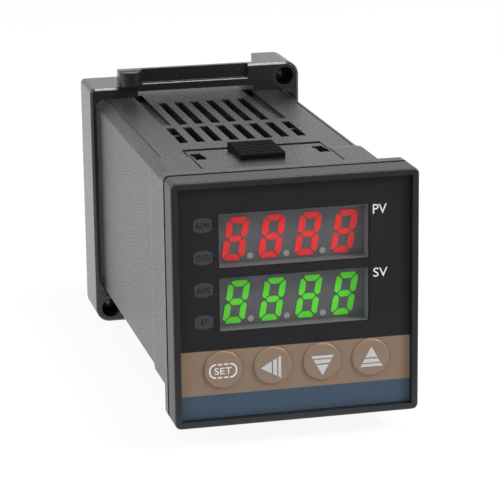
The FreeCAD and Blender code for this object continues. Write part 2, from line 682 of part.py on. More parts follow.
def makeBracket():
    # The ring slides on the case. Seen from behind it looks the same as upside down, so the
    # raised plates and their screws stand at opposite corners.
    body = newBody("mounting_bracket")
    plate = station(body, "plate", "bracket_front")
    end = f"({BRACKET} - plate_short)"
    loop(plate, [(f"-{BRACKET}", ROOF), (f"-{end}", ROOF), (f"-{end}", PLATE_TOP),
                 (BRACKET, PLATE_TOP), (BRACKET, f"-{ROOF}"), (end, f"-{ROOF}"),
                 (end, f"-{PLATE_TOP}"), (f"-{BRACKET}", f"-{PLATE_TOP}")])
    pad(body, plate, "plate_thick")
    ring = station(body, "ring", "bracket_front")
    rectangle(ring, f"-{BRACKET}", BRACKET, f"-{ROOF}", ROOF)
    pad(body, ring, "bracket_deep")
    for name, left, right, low, high in (("upper", BOSS_INNER, BRACKET, "0", PLATE_TOP),
                                         ("lower", f"-{BRACKET}", f"-{BOSS_INNER}", f"-{PLATE_TOP}", "0")):
        boss = station(body, name + "_boss", "bracket_front")
        rectangle(boss, left, right, low, high)
        pad(body, boss, "bracket_deep")
    # Round posts at the free ends of the raised plates
    for name, x, low in (("upper", f"-{POST_SIDE}", POST_LOW), ("lower", POST_SIDE, f"-{POST_TOP}")):
        post = plan(body, name + "_post", low)
        circle(post, x, "bracket_front", "post_radius")
        pad(body, post, f"{POST_TOP} - {POST_LOW}")
    doc.recompute()

    passage = station(body, "passage", "bracket_front")
    square(passage, RING, "bracket_corner")
    pocket(body, passage)
    relief = station(body, "relief", "bracket_front")
    rectangle(relief, "-relief_half", "relief_half",
              f"-({TAB_TOP} + relief_gap)", f"{TAB_TOP} + relief_gap")
    pocket(body, relief)
    ledge = station(body, "ledge", "bracket_front")
    rectangle(ledge, "-ledge_half", "ledge_half", LEDGE, f"{PLATE_TOP} + overshoot")
    rectangle(ledge, "-ledge_half", "ledge_half", f"-{PLATE_TOP} - overshoot", f"-{LEDGE}")
    pocket(body, ledge, "ledge_deep")
    bores = station(body, "bores", "bracket_front")
    circle(bores, CLAMP_SIDE, CLAMP_LEVEL, "clamp_radius + clamp_gap")
    circle(bores, f"-{CLAMP_SIDE}", f"-{CLAMP_LEVEL}", "clamp_radius + clamp_gap")
    pocket(body, bores)

    half = size("case_half") + size("bracket_gap") + size("bracket_wall")
    low = size("case_half") + size("tab_rise") + size("relief_gap") + size("roof_thick")
    high = low + size("plate_rise")

    def corner(edge, across, up):
        middle = edge.CenterOfMass
        return along(edge, 1) and near(middle.x, across) and near(middle.z, up)

    dress(body, "Fillet", "raised_round", lambda edge: corner(edge, half, high) or corner(edge, -half, -high))
    dress(body, "Fillet", "low_round", lambda edge: corner(edge, -half, low) or corner(edge, half, -low))
    front = size("bracket_front")

    def outerFront(edge):
        middle = edge.CenterOfMass
        straight = along(edge, 2) and near(abs(middle.x), half)
        return straight and near(middle.y, front)

    dress(body, "Chamfer", "front_bevel", outerFront)
    ledge_level = low + size("ledge_rise")
    dress(body, "Chamfer", "ledge_bevel", lambda edge: along(edge, 0)
          and near(edge.CenterOfMass.y, front) and near(abs(edge.CenterOfMass.z), ledge_level))
    return body


def makeClampScrew(label, sign):
    # Slotted set screw with a cone point that bears on the panel.
    turn = Rotation(Vector(1, 0, 0), -90)
    tip = "(bracket_front + clamp_back)"
    across, up = f"{sign}{CLAMP_SIDE}", f"{sign}{CLAMP_LEVEL}"
    point = doc.addObject("Part::Cone", label + "_point")
    point.setExpression("Radius1", tied("cone_flat"))
    point.setExpression("Radius2", tied("clamp_radius"))
    point.setExpression("Height", tied("cone_length"))
    point.Placement = Placement(Vector(), turn)
    place(point, across, tip, up)
    shank = doc.addObject("Part::Cylinder", label + "_shank")
    shank.setExpression("Radius", tied("clamp_radius"))
    shank.setExpression("Height", tied("clamp_length - cone_length"))
    shank.Placement = Placement(Vector(), turn)
    place(shank, across, f"{tip} + cone_length", up)
    whole = doc.addObject("Part::Fuse", label + "_whole")
    whole.Base = point
    whole.Tool = shank
    slot = doc.addObject("Part::Box", label + "_slot")
    slot.setExpression("Length", tied("2 * clamp_radius"))
    slot.setExpression("Width", tied("driver_deep"))
    slot.setExpression("Height", tied("driver_wide"))
    place(slot, f"{across} - clamp_radius", f"{tip} + clamp_length - driver_deep", f"{up} - driver_wide / 2")
    screw = doc.addObject("Part::Cut", label)
    screw.Label = label
    screw.Base = whole
    screw.Tool = slot
    return screw


# ---------------------------------------------------------------- front bezel and face

FIRST_KEY = "(key_shift - (key_count - 1) / 2 * key_spacing)"
KEYS = [(label, f"{FIRST_KEY} + {place_in_row} * key_spacing")
        for place_in_row, label in enumerate(("key_set", "key_left", "key_down", "key_up"))]


def makeBezel():
    body = newBody("front_bezel")
    outer = station(body, "outer", FRONT)
    rectangle(outer, "-face_size / 2", "face_size / 2", "-face_size / 2", "face_size / 2")
    pad(body, outer, f"{BEZEL_BACK} + front_reach")
    half = size("face_size") / 2
    dress(body, "Fillet", "face_corner", lambda edge: along(edge, 1))
    dress(body, "Fillet", "rim_round", lambda edge: near(edge.CenterOfMass.y, -size("front_reach"))
          and max(abs(edge.CenterOfMass.x), abs(edge.CenterOfMass.z)) > half - size("face_corner"))
    groove = station(body, "groove", BEZEL_BACK)
    square(groove, "(face_size / 2 - shadow_deep)", "face_corner")
    pad(body, groove, "shadow_gap")
    neck = station(body, "neck", "-flange_thick")
    square(neck, NECK, "cavity_corner")
    pad(body, neck, "flange_thick + neck_reach")
    doc.recompute()

    recess = station(body, "recess", FRONT)
    rectangle(recess, "-face_size / 2 + rim_wide", "face_size / 2 - rim_wide",
              "-face_size / 2 + rim_wide", "face_size / 2 - rim_wide")
    pocket(body, recess, "recess_deep + film_thick")
    inside = station(body, "inside", MODULE)
    square(inside, "(face_size / 2 - bezel_wall)", "face_corner")
    pocket(body, inside, f"-flange_thick - web_thick - {MODULE}")
    bore = station(body, "bore", MODULE)
    square(bore, NECK_INSIDE, "cavity_corner")
    pocket(body, bore)

    windows = station(body, "windows", PLATE)
    for middle in (UPPER, LOWER):
        rectangle(windows, WINDOW_LEFT, WINDOW_RIGHT,
                  f"{middle} - window_high / 2", f"{middle} + window_high / 2")
    pocket(body, windows, "face_plate")
    holes = station(body, "key_holes", PLATE)
    for label, x in KEYS:
        circle(holes, x, KEY_LEVEL, "key_radius + 2 * key_gap")
    pocket(body, holes, "face_plate")
    wells = station(body, "lamp_wells", PLATE)
    circle(wells, LAMP_SIDE, f"{LAMP_TOP} - (lamp_count - 1) * lamp_spacing", "lamp_radius")
    repeat(body, pocket(body, wells, "face_plate"), "Z_Axis", "(lamp_count - 1) * lamp_spacing", "lamp_count")

    # Latch arms behind the neck, with a hook under each catch window
    for name, left in (("left", "-catch_inner - catch_wide + tongue_slit"),
                       ("right", "catch_inner + tongue_slit")):
        arm = side(body, name + "_arm", left)
        back = f"{CAVITY} - arm_drop"
        hook = f"{CAVITY} - hook_gap"
        root, end = "neck_reach - arm_root", "catch_start + catch_length"
        loop(arm, [(root, f"{back} - arm_thick"), (end, f"{back} - arm_thick"), (end, back),
                   ("catch_start + catch_length / 2", hook), ("catch_start + tongue_slit", hook),
                   ("catch_start + tongue_slit", back), (root, back)])
        pad(body, arm, "catch_wide - 2 * tongue_slit")
    doc.recompute()
    return body


def makeFilm():
    body = newBody("face_overlay")
    film = station(body, "film", FILM)
    edge = "(face_size / 2 - rim_wide - film_gap)"
    rectangle(film, f"-{edge}", edge, f"-{edge}", edge)
    for middle in (UPPER, LOWER):
        lip = "(lens_lip + lens_gap)"
        rectangle(film, f"{WINDOW_LEFT} - {lip}", f"{WINDOW_RIGHT} + {lip}",
                  f"{middle} - window_high / 2 - {lip}", f"{middle} + window_high / 2 + {lip}")
    for label, x in KEYS:
        circle(film, x, KEY_LEVEL, "key_radius + key_gap")
    pad(body, film, "film_thick")
    return body


def makeKey(label, x):
    # Round cap with a collar behind the plate, turned about its own axis.
    body = newBody(label)
    outline = plan(body, "outline", "0")
    cap = f"{FILM} - key_proud"
    collar = f"{MODULE} + collar_gap"
    rear = f"{collar} + collar_thick"
    loop(outline, [("0", cap), ("key_radius", cap), ("key_radius", collar),
                   ("key_radius + key_flange", collar), ("key_radius + key_flange", rear), ("0", rear)])
    turned = body.newObject("PartDesign::Revolution", label + "_turned")
    turned.Profile = outline
    turned.ReferenceAxis = (originItem(body, "Y_Axis"), [""])
    turned.Angle = 360
    front = size("recess_deep") - size("front_reach") - size("key_proud")
    dress(body, "Fillet", "key_round", lambda edge: near(edge.CenterOfMass.y, front)
          and near(edge.Length, 2 * math.pi * size("key_radius")))
    place(body, x=x, z=KEY_LEVEL)
    return body


def makeLens(label, middle):
    body = newBody(label)
    lens = station(body, "lens", FILM)
    rectangle(lens, f"{WINDOW_LEFT} - lens_lip", f"{WINDOW_RIGHT} + lens_lip",
              "-window_high / 2 - lens_lip", "window_high / 2 + lens_lip")
    pad(body, lens, "film_thick")
    place(body, z=middle)
    return body


# ---------------------------------------------------------------- displays

def makeModule(label, middle):
    body = newBody(label)
    face = station(body, "face", MODULE)
    rectangle(face, f"{WINDOW_LEFT} - module_lip", f"{WINDOW_RIGHT} + module_lip",
              "-window_high / 2 - module_lip", "window_high / 2 + module_lip")
    pad(body, face, "module_deep")
    place(body, z=middle)
    return body


def segmentOutlines():
    # Seven outlines about the figure's centre: three bars and four uprights with mitred ends.
    wide, high = size("figure_wide") / 2, size("figure_high") / 2
    stroke, gap, cut = size("stroke_wide"), size("stroke_gap"), size("figure_cut")
    bar = [(cut - wide, high), (wide - cut, high), (wide - cut / 2 - gap, high - cut / 2),
           (wide - stroke - gap, high - stroke), (stroke + gap - wide, high - stroke),
           (cut / 2 + gap - wide, high - cut / 2)]
    upright = [(-wide, high - cut), (-wide, size("stroke_shoulder") + gap), (stroke / 2 - wide, gap),
               (stroke - wide, stroke / 2 + gap), (stroke - wide, high - stroke - gap),
               (cut / 2 - wide, high - cut / 2 - gap)]
    tip, end = wide - stroke / 2 - gap, wide - stroke - gap
    middle = [(-tip, 0), (-end, stroke / 2), (end, stroke / 2),
              (tip, 0), (end, -stroke / 2), (-end, -stroke / 2)]
    flips = [(1, 1), (-1, 1), (1, -1), (-1, -1)]
    return ([bar, [(x, -z) for x, z in bar], middle]
            + [[(across * x, up * z) for x, z in upright] for across, up in flips])


def figureCentres():
    count = int(size("figure_count"))
    middle = size("figure_shift")
    return [middle + (i - (count - 1) / 2) * size("figure_spacing") for i in range(count)]


def faceOfModule():
    return -size("front_reach") + size("recess_deep") + size("film_thick") + size("face_plate")


def makeSegments(label, centre):
    lean = math.tan(math.radians(size("figure_slant")))
    front = faceOfModule() - size("stroke_proud")
    pieces = []
    for x in figureCentres():
        for outline in segmentOutlines():
            points = [Vector(x + across + up * lean, front, centre + size("figure_lift") + up)
                      for across, up in outline]
            face = Part.Face(Part.makePolygon(points + points[:1]))
            prism = face.extrude(Vector(0, size("stroke_proud"), 0))
            short = [edge for edge in prism.Edges if along(edge, 1)]
            pieces.append(prism.makeFillet(size("stroke_gap"), short))
    return solids(label, pieces)


def makePoints(label, centre):
    # Decimal points stand between the figures.
    front = faceOfModule() - size("stroke_proud")
    z = centre + size("figure_lift") - size("point_drop")
    return solids(label, [drum(size("point_radius"), front, size("stroke_proud"), x + size("point_side"), z)
                          for x in figureCentres()[:-1]])


# ---------------------------------------------------------------- boards and their parts

def makeDisplayBoard():
    body = newBody("display_board")
    outline = station(body, "outline", BOARD)
    square(outline, BOARD_OUT, "cavity_corner")
    pad(body, outline, "board_thick")
    return body


def makeSwitches():
    body = newBody("tact_switches")
    plunger = f"{MODULE} + collar_gap + collar_thick + key_travel + key_gap"
    base = station(body, "base", f"{plunger} + plunger_high")
    rectangle(base, f"{FIRST_KEY} - switch_size / 2", f"{FIRST_KEY} + switch_size / 2",
              f"{KEY_LEVEL} - switch_size / 2", f"{KEY_LEVEL} + switch_size / 2")
    bases = pad(body, base, f"{BOARD} - ({plunger} + plunger_high)")
    doc.recompute()
    repeat(body, bases, "X_Axis", "(key_count - 1) * key_spacing", "key_count")
    stem = station(body, "stem", plunger)
    circle(stem, FIRST_KEY, KEY_LEVEL, "plunger_radius")
    stems = pad(body, stem, "plunger_high")
    doc.recompute()
    repeat(body, stems, "X_Axis", "(key_count - 1) * key_spacing", "key_count")
    return body


def makeLamps():
    # Round lamps with domed tips that stand on the display board.
    start = faceOfModule() + size("lamp_gap")
    end = faceOfModule() + size("module_deep")
    radius = size("lamp_radius")
    edge = size("window_shift") - size("window_wide") / 2 - size("module_lip")
    x = edge - size("lamp_clear") - radius
    top = size("face_size") / 2 - size("upper_drop") + size("lamp_lift")
    lamps = []
    for i in range(int(size("lamp_count"))):
        z = top - i * size("lamp_spacing")
        stem = drum(radius, start + radius, end - start - radius, x, z)
        dome = Part.makeSphere(radius, Vector(x, start + radius, z))
        lamps.append(stem.fuse(dome).removeSplitter())
    return solids("indicator_leds", lamps)


def makeLongBoard(label, sign):
    body = newBody(label)
    outline = side(body, "outline", BOARD_IN if sign > 0 else f"-{BOARD_OUT}")
    front = f"{BOARD} + board_thick"
    low, high = "-board_high / 2", "board_high / 2"
    loop(outline, [(front, low), (f"{BOARD_END} - case_corner", low), (BOARD_END, f"{low} + case_corner"),
                   (BOARD_END, f"{high} - case_corner"), (f"{BOARD_END} - case_corner", high), (front, high)])
    pad(body, outline, "board_thick")
    return body


def makeTie():
    # Moulded tie that holds the two long boards apart at the rear.
    body = newBody("board_tie")
    outline = station(body, "outline", "tie_start")
    rectangle(outline, f"-{BOARD_IN}", BOARD_IN, "-tie_high / 2", "tie_high / 2")
    pad(body, outline, "tie_wide")
    doc.recompute()
    waist = station(body, "waist", "tie_start")
    inner = f"{BOARD_IN} - tie_foot"
    for low, high in (("tie_waist / 2", "tie_high / 2 + overshoot"),
                      ("-tie_high / 2 - overshoot", "-tie_waist / 2")):
        rectangle(waist, f"-({inner})", inner, low, high)
    pocket(body, waist)
    return body


def makeCore():
    # Closed core round the coil, with its window along the board's normal.
    body = newBody("transformer_core")
    outline = side(body, "outline", f"-{BOARD_IN} + core_base")
    half = "coil_high / 2"
    rectangle(outline, "coil_start - core_arm", "coil_start + coil_length + core_arm",
              f"-{half} - core_arm", f"{half} + core_arm")
    rectangle(outline, "coil_start", "coil_start + coil_length", f"-{half}", half)
    pad(body, outline, "core_thick")
    return body


def makeCoil():
    body = newBody("transformer_coil")
    outline = side(body, "outline", f"-{BOARD_IN}")
    rectangle(outline, "coil_start", "coil_start + coil_length", "-coil_high / 2", "coil_high / 2")
    pad(body, outline, "coil_tall")
    return body


def makeRelay():
    body = newBody("output_relay")
    outline = side(body, "outline", f"{BOARD_IN} - relay_tall")
    rectangle(outline, "relay_start", "relay_start + relay_length", "relay_base", "relay_base + relay_high")
    pad(body, outline, "relay_tall")
    dress(body, "Fillet", "can_round", lambda edge: along(edge, 0))
    return body


def makeCapacitors():
    # A large and a small can that lie across the case, on the left board.
    foot = -(boardOut() - size("board_thick"))
    cans = []
    for scale, drop in ((1.0, 0.0), (size("small_can"), size("small_drop"))):
        radius, tall = scale * size("can_radius"), scale * size("can_tall")
        base = Vector(foot, size("can_start"), size("can_height") - drop)
        can = Part.makeCylinder(radius, tall, base, Vector(1, 0, 0))
        rims = [edge for edge in can.Edges if near(edge.CenterOfMass.x, foot + tall)]
        cans.append(can.makeFillet(size("can_round"), rims))
    return solids("filter_capacitors", cans)


def makeChips():
    body = newBody("control_chips")
    outline = side(body, "outline", f"{BOARD_IN} - chip_tall")
    rectangle(outline, "chip_start", "chip_start + chip_length",
              "chip_height - chip_high / 2", "chip_height + chip_high / 2")
    chips = pad(body, outline, "chip_tall")
    doc.recompute()
    repeat(body, chips, "Y_Axis", "(chip_count - 1) * chip_spacing", "chip_count")
    return body


# ---------------------------------------------------------------- build and export

upper = size("face_size") / 2 - size("upper_drop")
lower = upper - size("window_spacing")

nodes = [
    makeCase(), makeTongue(), makeTab(),
    makeTerminalBlock(), makeContacts(), makeWashers(), makeTerminalScrews(),
    makeBracket(), makeClampScrew("clamp_screw_upper", ""), makeClampScrew("clamp_screw_lower", "-"),
    makeBezel(), makeFilm(),
    makeLens("pv_lens", UPPER), makeLens("sv_lens", LOWER),
    makeModule("pv_display", UPPER), makeModule("sv_display", LOWER),
    makeSegments("pv_segments", upper), makeSegments("sv_segments", lower),
    makePoints("pv_points", upper), makePoints("sv_points", lower),
    makeDisplayBoard(), makeSwitches(), makeLamps(),
    makeLongBoard("power_board", -1), makeLongBoard("control_board", 1), makeTie(),
    makeCore(), makeCoil(), makeRelay(), makeCapacitors(), makeChips(),
]
for name, x in KEYS:
    nodes.append(makeKey(name, x))

doc.recompute()
for item in doc.Objects:
    if {"Invalid", "Error"} & set(item.State):
        raise RuntimeError(f"{item.Label} failed: {item.State}")
for node in nodes:
    if node.Shape.isNull() or not node.Shape.isValid() or not node.Shape.Solids:
        raise RuntimeError(f"{node.Label} has no valid solid")

os.makedirs("parts", exist_ok=True)
for node in nodes:
    node.Shape.exportStep(f"parts/{node.Label}.step")
    box = node.Shape.BoundBox
    print(f"{node.Label:20s} {len(node.Shape.Solids):3d} solids {node.Shape.Volume:9.1f} mm3")
    print(f"    x {box.XMin:7.2f} {box.XMax:7.2f}  y {box.YMin:7.2f} {box.YMax:7.2f}  "
          f"z {box.ZMin:7.2f} {box.ZMax:7.2f}")
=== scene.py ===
import math

import bmesh
import bpy
from mathutils import Matrix, Vector


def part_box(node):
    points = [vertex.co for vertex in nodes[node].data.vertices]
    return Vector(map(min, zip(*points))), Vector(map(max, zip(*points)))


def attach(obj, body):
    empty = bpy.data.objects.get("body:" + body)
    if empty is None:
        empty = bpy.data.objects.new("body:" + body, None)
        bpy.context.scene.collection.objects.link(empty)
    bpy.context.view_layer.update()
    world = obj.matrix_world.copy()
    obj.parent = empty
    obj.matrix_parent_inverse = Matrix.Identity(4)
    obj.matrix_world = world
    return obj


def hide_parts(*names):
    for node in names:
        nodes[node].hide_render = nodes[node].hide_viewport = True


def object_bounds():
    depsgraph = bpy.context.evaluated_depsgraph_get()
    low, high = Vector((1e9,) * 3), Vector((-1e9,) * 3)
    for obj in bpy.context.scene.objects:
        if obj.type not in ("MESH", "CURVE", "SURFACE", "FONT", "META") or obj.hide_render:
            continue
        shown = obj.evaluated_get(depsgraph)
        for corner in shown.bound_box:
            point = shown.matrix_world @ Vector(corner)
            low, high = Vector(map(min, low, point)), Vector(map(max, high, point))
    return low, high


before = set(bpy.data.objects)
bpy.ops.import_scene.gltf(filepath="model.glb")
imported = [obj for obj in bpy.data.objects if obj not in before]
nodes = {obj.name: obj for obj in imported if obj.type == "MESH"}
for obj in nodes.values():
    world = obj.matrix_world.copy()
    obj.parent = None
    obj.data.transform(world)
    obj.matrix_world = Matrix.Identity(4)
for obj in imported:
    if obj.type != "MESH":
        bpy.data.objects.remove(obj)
cadBox = [list(corner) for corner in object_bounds()]
mm = 0.001
print("frame loaded:", len(nodes), "nodes")


# Small helpers

def linearColour(hexText):
    channels = [int(hexText[i:i + 2], 16) / 255 for i in (0, 2, 4)]
    return [c / 12.92 if c <= 0.04045 else ((c + 0.055) / 1.055) ** 2.4 for c in channels] + [1.0]


def shaded(colour, factor, lift=0.0):
    # The same colour, paler or darker.
    return [min(1.0, c * factor + lift) for c in colour[:3]] + [1.0]


def addNode(tree, kind, settings=None, links=None):
    # A lower-case name is a property of the node; any other name or number is one of its inputs.
    node = tree.nodes.new(kind)
    for name, value in (settings or {}).items():
        if isinstance(name, str) and name[0].islower():
            setattr(node, name, value)
        else:
            node.inputs[name].default_value = value
    for name, output in (links or {}).items():
        tree.links.new(output, node.inputs[name])
    return node


def newMaterial(name, settings):
    # A Principled shader whose constants sit on its own sockets.
    material = bpy.data.materials.new(name)
    material.use_nodes = True
    tree = material.node_tree
    tree.nodes.clear()
    shader = addNode(tree, "ShaderNodeBsdfPrincipled", settings)
    addNode(tree, "ShaderNodeOutputMaterial", links={"Surface": shader.outputs["BSDF"]})
    return material, tree, shader


def objectPlace(tree):
    return addNode(tree, "ShaderNodeTexCoord").outputs["Object"]


def speckle(tree, sizeMm, detail=2.0):
    # Noise with lumps of a real size.
    return addNode(tree, "ShaderNodeTexNoise", {"Scale": 1 / (sizeMm * mm), "Detail": detail},
                   {"Vector": objectPlace(tree)}).outputs["Fac"]


noiseCore = {"From Min": 0.3, "From Max": 0.7}


def between(tree, source, low, high):
    # Spreads a noise, whose middle values are the common ones, over a range.
    return addNode(tree, "ShaderNodeMapRange", {**noiseCore, "To Min": low, "To Max": high},
                   {"Value": source}).outputs["Result"]


def mixColours(tree, share, first, second):
    # Share, first and second are each a plain value or another node's output. The node has a socket of each
    # name for every data type, so its colour sockets are taken by number.
    node = addNode(tree, "ShaderNodeMix", {"data_type": "RGBA"})
    for index, value in ((0, share), (6, first), (7, second)):
        if hasattr(value, "is_linked"):
            tree.links.new(value, node.inputs[index])
        else:
            node.inputs[index].default_value = value
    return node.outputs[2]


def setColour(tree, shader, share, first, second):
    tree.links.new(mixColours(tree, share, first, second), shader.inputs["Base Color"])


def setRoughness(tree, shader, source, rough):
    tree.links.new(between(tree, source, *rough), shader.inputs["Roughness"])


def raiseBump(tree, shader, height, depthMm, edgeMm=0.0):
    # Relief from a height, over edges that look rounded by edgeMm where it is given.
    links = {"Height": height}
    if edgeMm:
        bevel = addNode(tree, "ShaderNodeBevel", {"samples": 4, "Radius": edgeMm * mm})
        links["Normal"] = bevel.outputs["Normal"]
    bump = addNode(tree, "ShaderNodeBump", {"Distance": depthMm * mm}, links)
    tree.links.new(bump.outputs["Normal"], shader.inputs["Normal"])


def setMaterial(piece, material):
    piece.data.materials.clear()
    piece.data.materials.append(material)


# Finishes. The black plastics differ in gloss and grain, as their moulds do.

plastic = {"ior": 1.53, "gloss": 0.5, "paleBy": 1.35, "patchDetail": 3.0}


def mouldedPlastic(name, finish):
    # Spark-eroded mould surface: a fine even grain that glints, with broad patches of another shade.
    material, tree, shader = newMaterial(name, {
        "IOR": plastic["ior"], "Specular IOR Level": finish.get("gloss", plastic["gloss"])})
    base = linearColour(finish["colour"])
    patches = speckle(tree, finish["mottleMm"], plastic["patchDetail"])
    setColour(tree, shader, patches, base, shaded(base, plastic["paleBy"]))
    grain = speckle(tree, finish["grainMm"])
    setRoughness(tree, shader, grain, finish["rough"])
    raiseBump(tree, shader, grain, finish["grainDepthMm"], finish.get("edgeMm", 0.0))
    return material


satinAbs = mouldedPlastic("SatinMouldedAbs", {
    "colour": "1d1d20", "grainMm": 0.36, "grainDepthMm": 0.1, "mottleMm": 14.0, "rough": (0.19, 0.40),
    "edgeMm": 0.25, "gloss": 0.46})
tabAbs = mouldedPlastic("DullMouldedAbs", {
    "colour": "111113", "grainMm": 0.25, "grainDepthMm": 0.01, "mottleMm": 5.0, "rough": (0.5, 0.6),
    "gloss": 0.03})
moulded = mouldedPlastic("MouldedNylon", {
    "colour": "1b1b1e", "grainMm": 0.35, "grainDepthMm": 0.006, "mottleMm": 6.0, "rough": (0.20, 0.28),
    "edgeMm": 0.28})
filledPbt = mouldedPlastic("GlassFilledPbt", {
    "colour": "222224", "grainMm": 0.18, "grainDepthMm": 0.012, "mottleMm": 3.0, "rough": (0.42, 0.55)})
bezelAbs = mouldedPlastic("TexturedBezelAbs", {
    "colour": "1a1a1d", "grainMm": 0.25, "grainDepthMm": 0.012, "mottleMm": 6.0, "rough": (0.40, 0.46),
    "edgeMm": 0.06})
switchNylon = mouldedPlastic("BlackSwitchNylon", {
    "colour": "2e2e30", "grainMm": 0.3, "grainDepthMm": 0.008, "mottleMm": 3.0, "rough": (0.45, 0.6)})
relayAbs = mouldedPlastic("RelayCasePbt", {
    "colour": "1c1d22", "grainMm": 0.3, "grainDepthMm": 0.004, "mottleMm": 4.0, "rough": (0.25, 0.33)})
chipEpoxy = mouldedPlastic("ChipEpoxy", {
    "colour": "232323", "grainMm": 0.12, "grainDepthMm": 0.010, "mottleMm": 2.0, "rough": (0.5, 0.62)})

film = {"ior": 1.58, "bands": (("3a4c5e", 0.0), ("826d5b", 4.7), ("1e1e21", 13.45)),
        "cloudMm": 9.0, "cloudInk": "9a9a9a", "cloudShare": 0.008, "wearMm": 4.0,
        "grainMm": 0.16, "grainDepthMm": 0.004}


def printedFilm(name, inks, gloss, rough):
    # Polycarbonate film printed on its back: bands of ink from the bottom up, under a fine velvet surface.
    material, tree, shader = newMaterial(name, {"IOR": film["ior"], "Specular IOR Level": gloss})
    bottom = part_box("face_overlay")[0].z
    height = addNode(tree, "ShaderNodeSeparateXYZ", links={"Vector": objectPlace(tree)}).outputs["Z"]
    colour = linearColour(inks[0][0])
    for ink, levelMm in inks[1:]:
        above = addNode(tree, "ShaderNodeMath", {"operation": "GREATER_THAN", 1: bottom + levelMm * mm},
                        {0: height}).outputs["Value"]
        colour = mixColours(tree, above, colour, linearColour(ink))
    clouds = between(tree, speckle(tree, film["cloudMm"]), 0.0, film["cloudShare"])
    setColour(tree, shader, clouds, colour, linearColour(film["cloudInk"]))
    setRoughness(tree, shader, speckle(tree, film["wearMm"]), rough)
    raiseBump(tree, shader, speckle(tree, film["grainMm"]), film["grainDepthMm"])
    return material


velvetFilm = printedFilm("PrintedPolycarbonateFilm", film["bands"], gloss=0.2, rough=(0.42, 0.50))
# Where the film is pressed into domes over the keys its surface is stretched smooth.
domedFilm = printedFilm("DomedPolycarbonateFilm", film["bands"][1:2], gloss=0.5, rough=(0.36, 0.42))

pane = {"tint": "8a8c90", "cover": 0.02, "gloss": 0.15, "wearMm": 6.0, "rough": (0.16, 0.24)}


def clearWindow(name):
    # Clear polycarbonate: almost all light passes, and a soft sheen stays on top.
    material, tree, shader = newMaterial(name, {
        "IOR": film["ior"], "Base Color": linearColour(pane["tint"]), "Alpha": pane["cover"],
        "Specular IOR Level": pane["gloss"]})
    setRoughness(tree, shader, speckle(tree, pane["wearMm"]), pane["rough"])
    return material


windowFilm = clearWindow("ClearPolycarbonate")

paint = {"ior": 1.5, "darkBy": 0.9, "patchMm": 2.5, "wearMm": 1.0, "rough": (0.55, 0.7),
         "grainMm": 0.15, "grainDepthMm": 0.004}


def paintedFace(name, colour):
    # Grey paint, matt with a trace of grain: the display module's own grey, and the painted light on the
    # walls of its opening.
    material, tree, shader = newMaterial(name, {"IOR": paint["ior"]})
    base = linearColour(colour)
    setColour(tree, shader, speckle(tree, paint["patchMm"]), shaded(base, paint["darkBy"]), base)
    setRoughness(tree, shader, speckle(tree, paint["wearMm"]), paint["rough"])
    raiseBump(tree, shader, speckle(tree, paint["grainMm"]), paint["grainDepthMm"])
    return material


displayPaint = paintedFace("GreyDisplayPaint", "58585c")
# This grey is painted light: it stands for light falling on the dark walls of the display openings.
openingLightPaint = paintedFace("GreyOpeningPaintedLight", "6c6c71")

resin = {"ior": 1.5, "glow": 0.16, "gloss": 0.15, "rough": 0.35, "paleBy": 1.06, "paleAdd": 0.004,
         "cloudMm": 0.5, "grainMm": 0.3, "grainDepthMm": 0.003}


def litResin(name, colour):
    # Diffusing epoxy lit from behind: an even colour, cloudy by a trace, that holds its edge.
    material, tree, shader = newMaterial(name, {
        "IOR": resin["ior"], "Roughness": resin["rough"], "Emission Strength": resin["glow"],
        "Specular IOR Level": resin["gloss"]})
    base = linearColour(colour)
    clouds = between(tree, speckle(tree, resin["cloudMm"]), 0.0, 1.0)
    even = mixColours(tree, clouds, base, shaded(base, resin["paleBy"], resin["paleAdd"]))
    tree.links.new(even, shader.inputs["Emission Color"])
    tree.links.new(even, shader.inputs["Base Color"])
    raiseBump(tree, shader, speckle(tree, resin["grainMm"]), resin["grainDepthMm"])
    return material


litRed = litResin("LitRedEpoxy", "d92a28")
litGreen = litResin("LitGreenEpoxy", "54c62a")

unlit = {"darkBy": 0.82, "cloudMm": 0.4, "cloudDetail": 3.0, "wearMm": 0.3, "rough": (0.3, 0.45)}


def unlitResin(name, colour):
    # Unlit diffuser: cloudy resin with a soft gloss.
    material, tree, shader = newMaterial(name, {"IOR": resin["ior"]})
    base = linearColour(colour)
    clouds = speckle(tree, unlit["cloudMm"], unlit["cloudDetail"])
    setColour(tree, shader, clouds, shaded(base, unlit["darkBy"]), base)
    setRoughness(tree, shader, speckle(tree, unlit["wearMm"]), unlit["rough"])
    return material


cloudyResin = unlitResin("UnlitDiffuserEpoxy", "a39c98")

boardFinish = {"ior": 1.52, "mask": "14502f", "track": "1f6a40", "trackStepMm": 2.54, "trackWideMm": 0.5,
               "trackSteps": 4, "trackSoft": 0.1, "trackDepthMm": 0.03,
               "wearMm": 3.0, "rough": (0.25, 0.36),
               "layout": {"offset": 0.37, "offset_frequency": 3, "squash": 0.6, "squash_frequency": 4}}


def solderMask(name, across, up):
    # Glass-epoxy board under a glossy green mask. The copper tracks show a lighter green and stand proud.
    material, tree, shader = newMaterial(name, {"IOR": boardFinish["ior"]})
    parts = addNode(tree, "ShaderNodeSeparateXYZ", links={"Vector": objectPlace(tree)})
    flat = addNode(tree, "ShaderNodeCombineXYZ",
                   links={"X": parts.outputs[across], "Y": parts.outputs[up]})
    step = boardFinish["trackStepMm"] * mm
    tracks = addNode(tree, "ShaderNodeTexBrick",
                     {"Scale": 1.0, "Mortar Size": boardFinish["trackWideMm"] * mm / 2,
                      "Mortar Smooth": boardFinish["trackSoft"],
                      "Brick Width": boardFinish["trackSteps"] * step,
                      "Row Height": step, **boardFinish["layout"]},
                     {"Vector": flat.outputs["Vector"]}).outputs["Fac"]
    setColour(tree, shader, tracks, linearColour(boardFinish["mask"]), linearColour(boardFinish["track"]))
    setRoughness(tree, shader, speckle(tree, boardFinish["wearMm"]), boardFinish["rough"])
    raiseBump(tree, shader, tracks, boardFinish["trackDepthMm"])
    return material


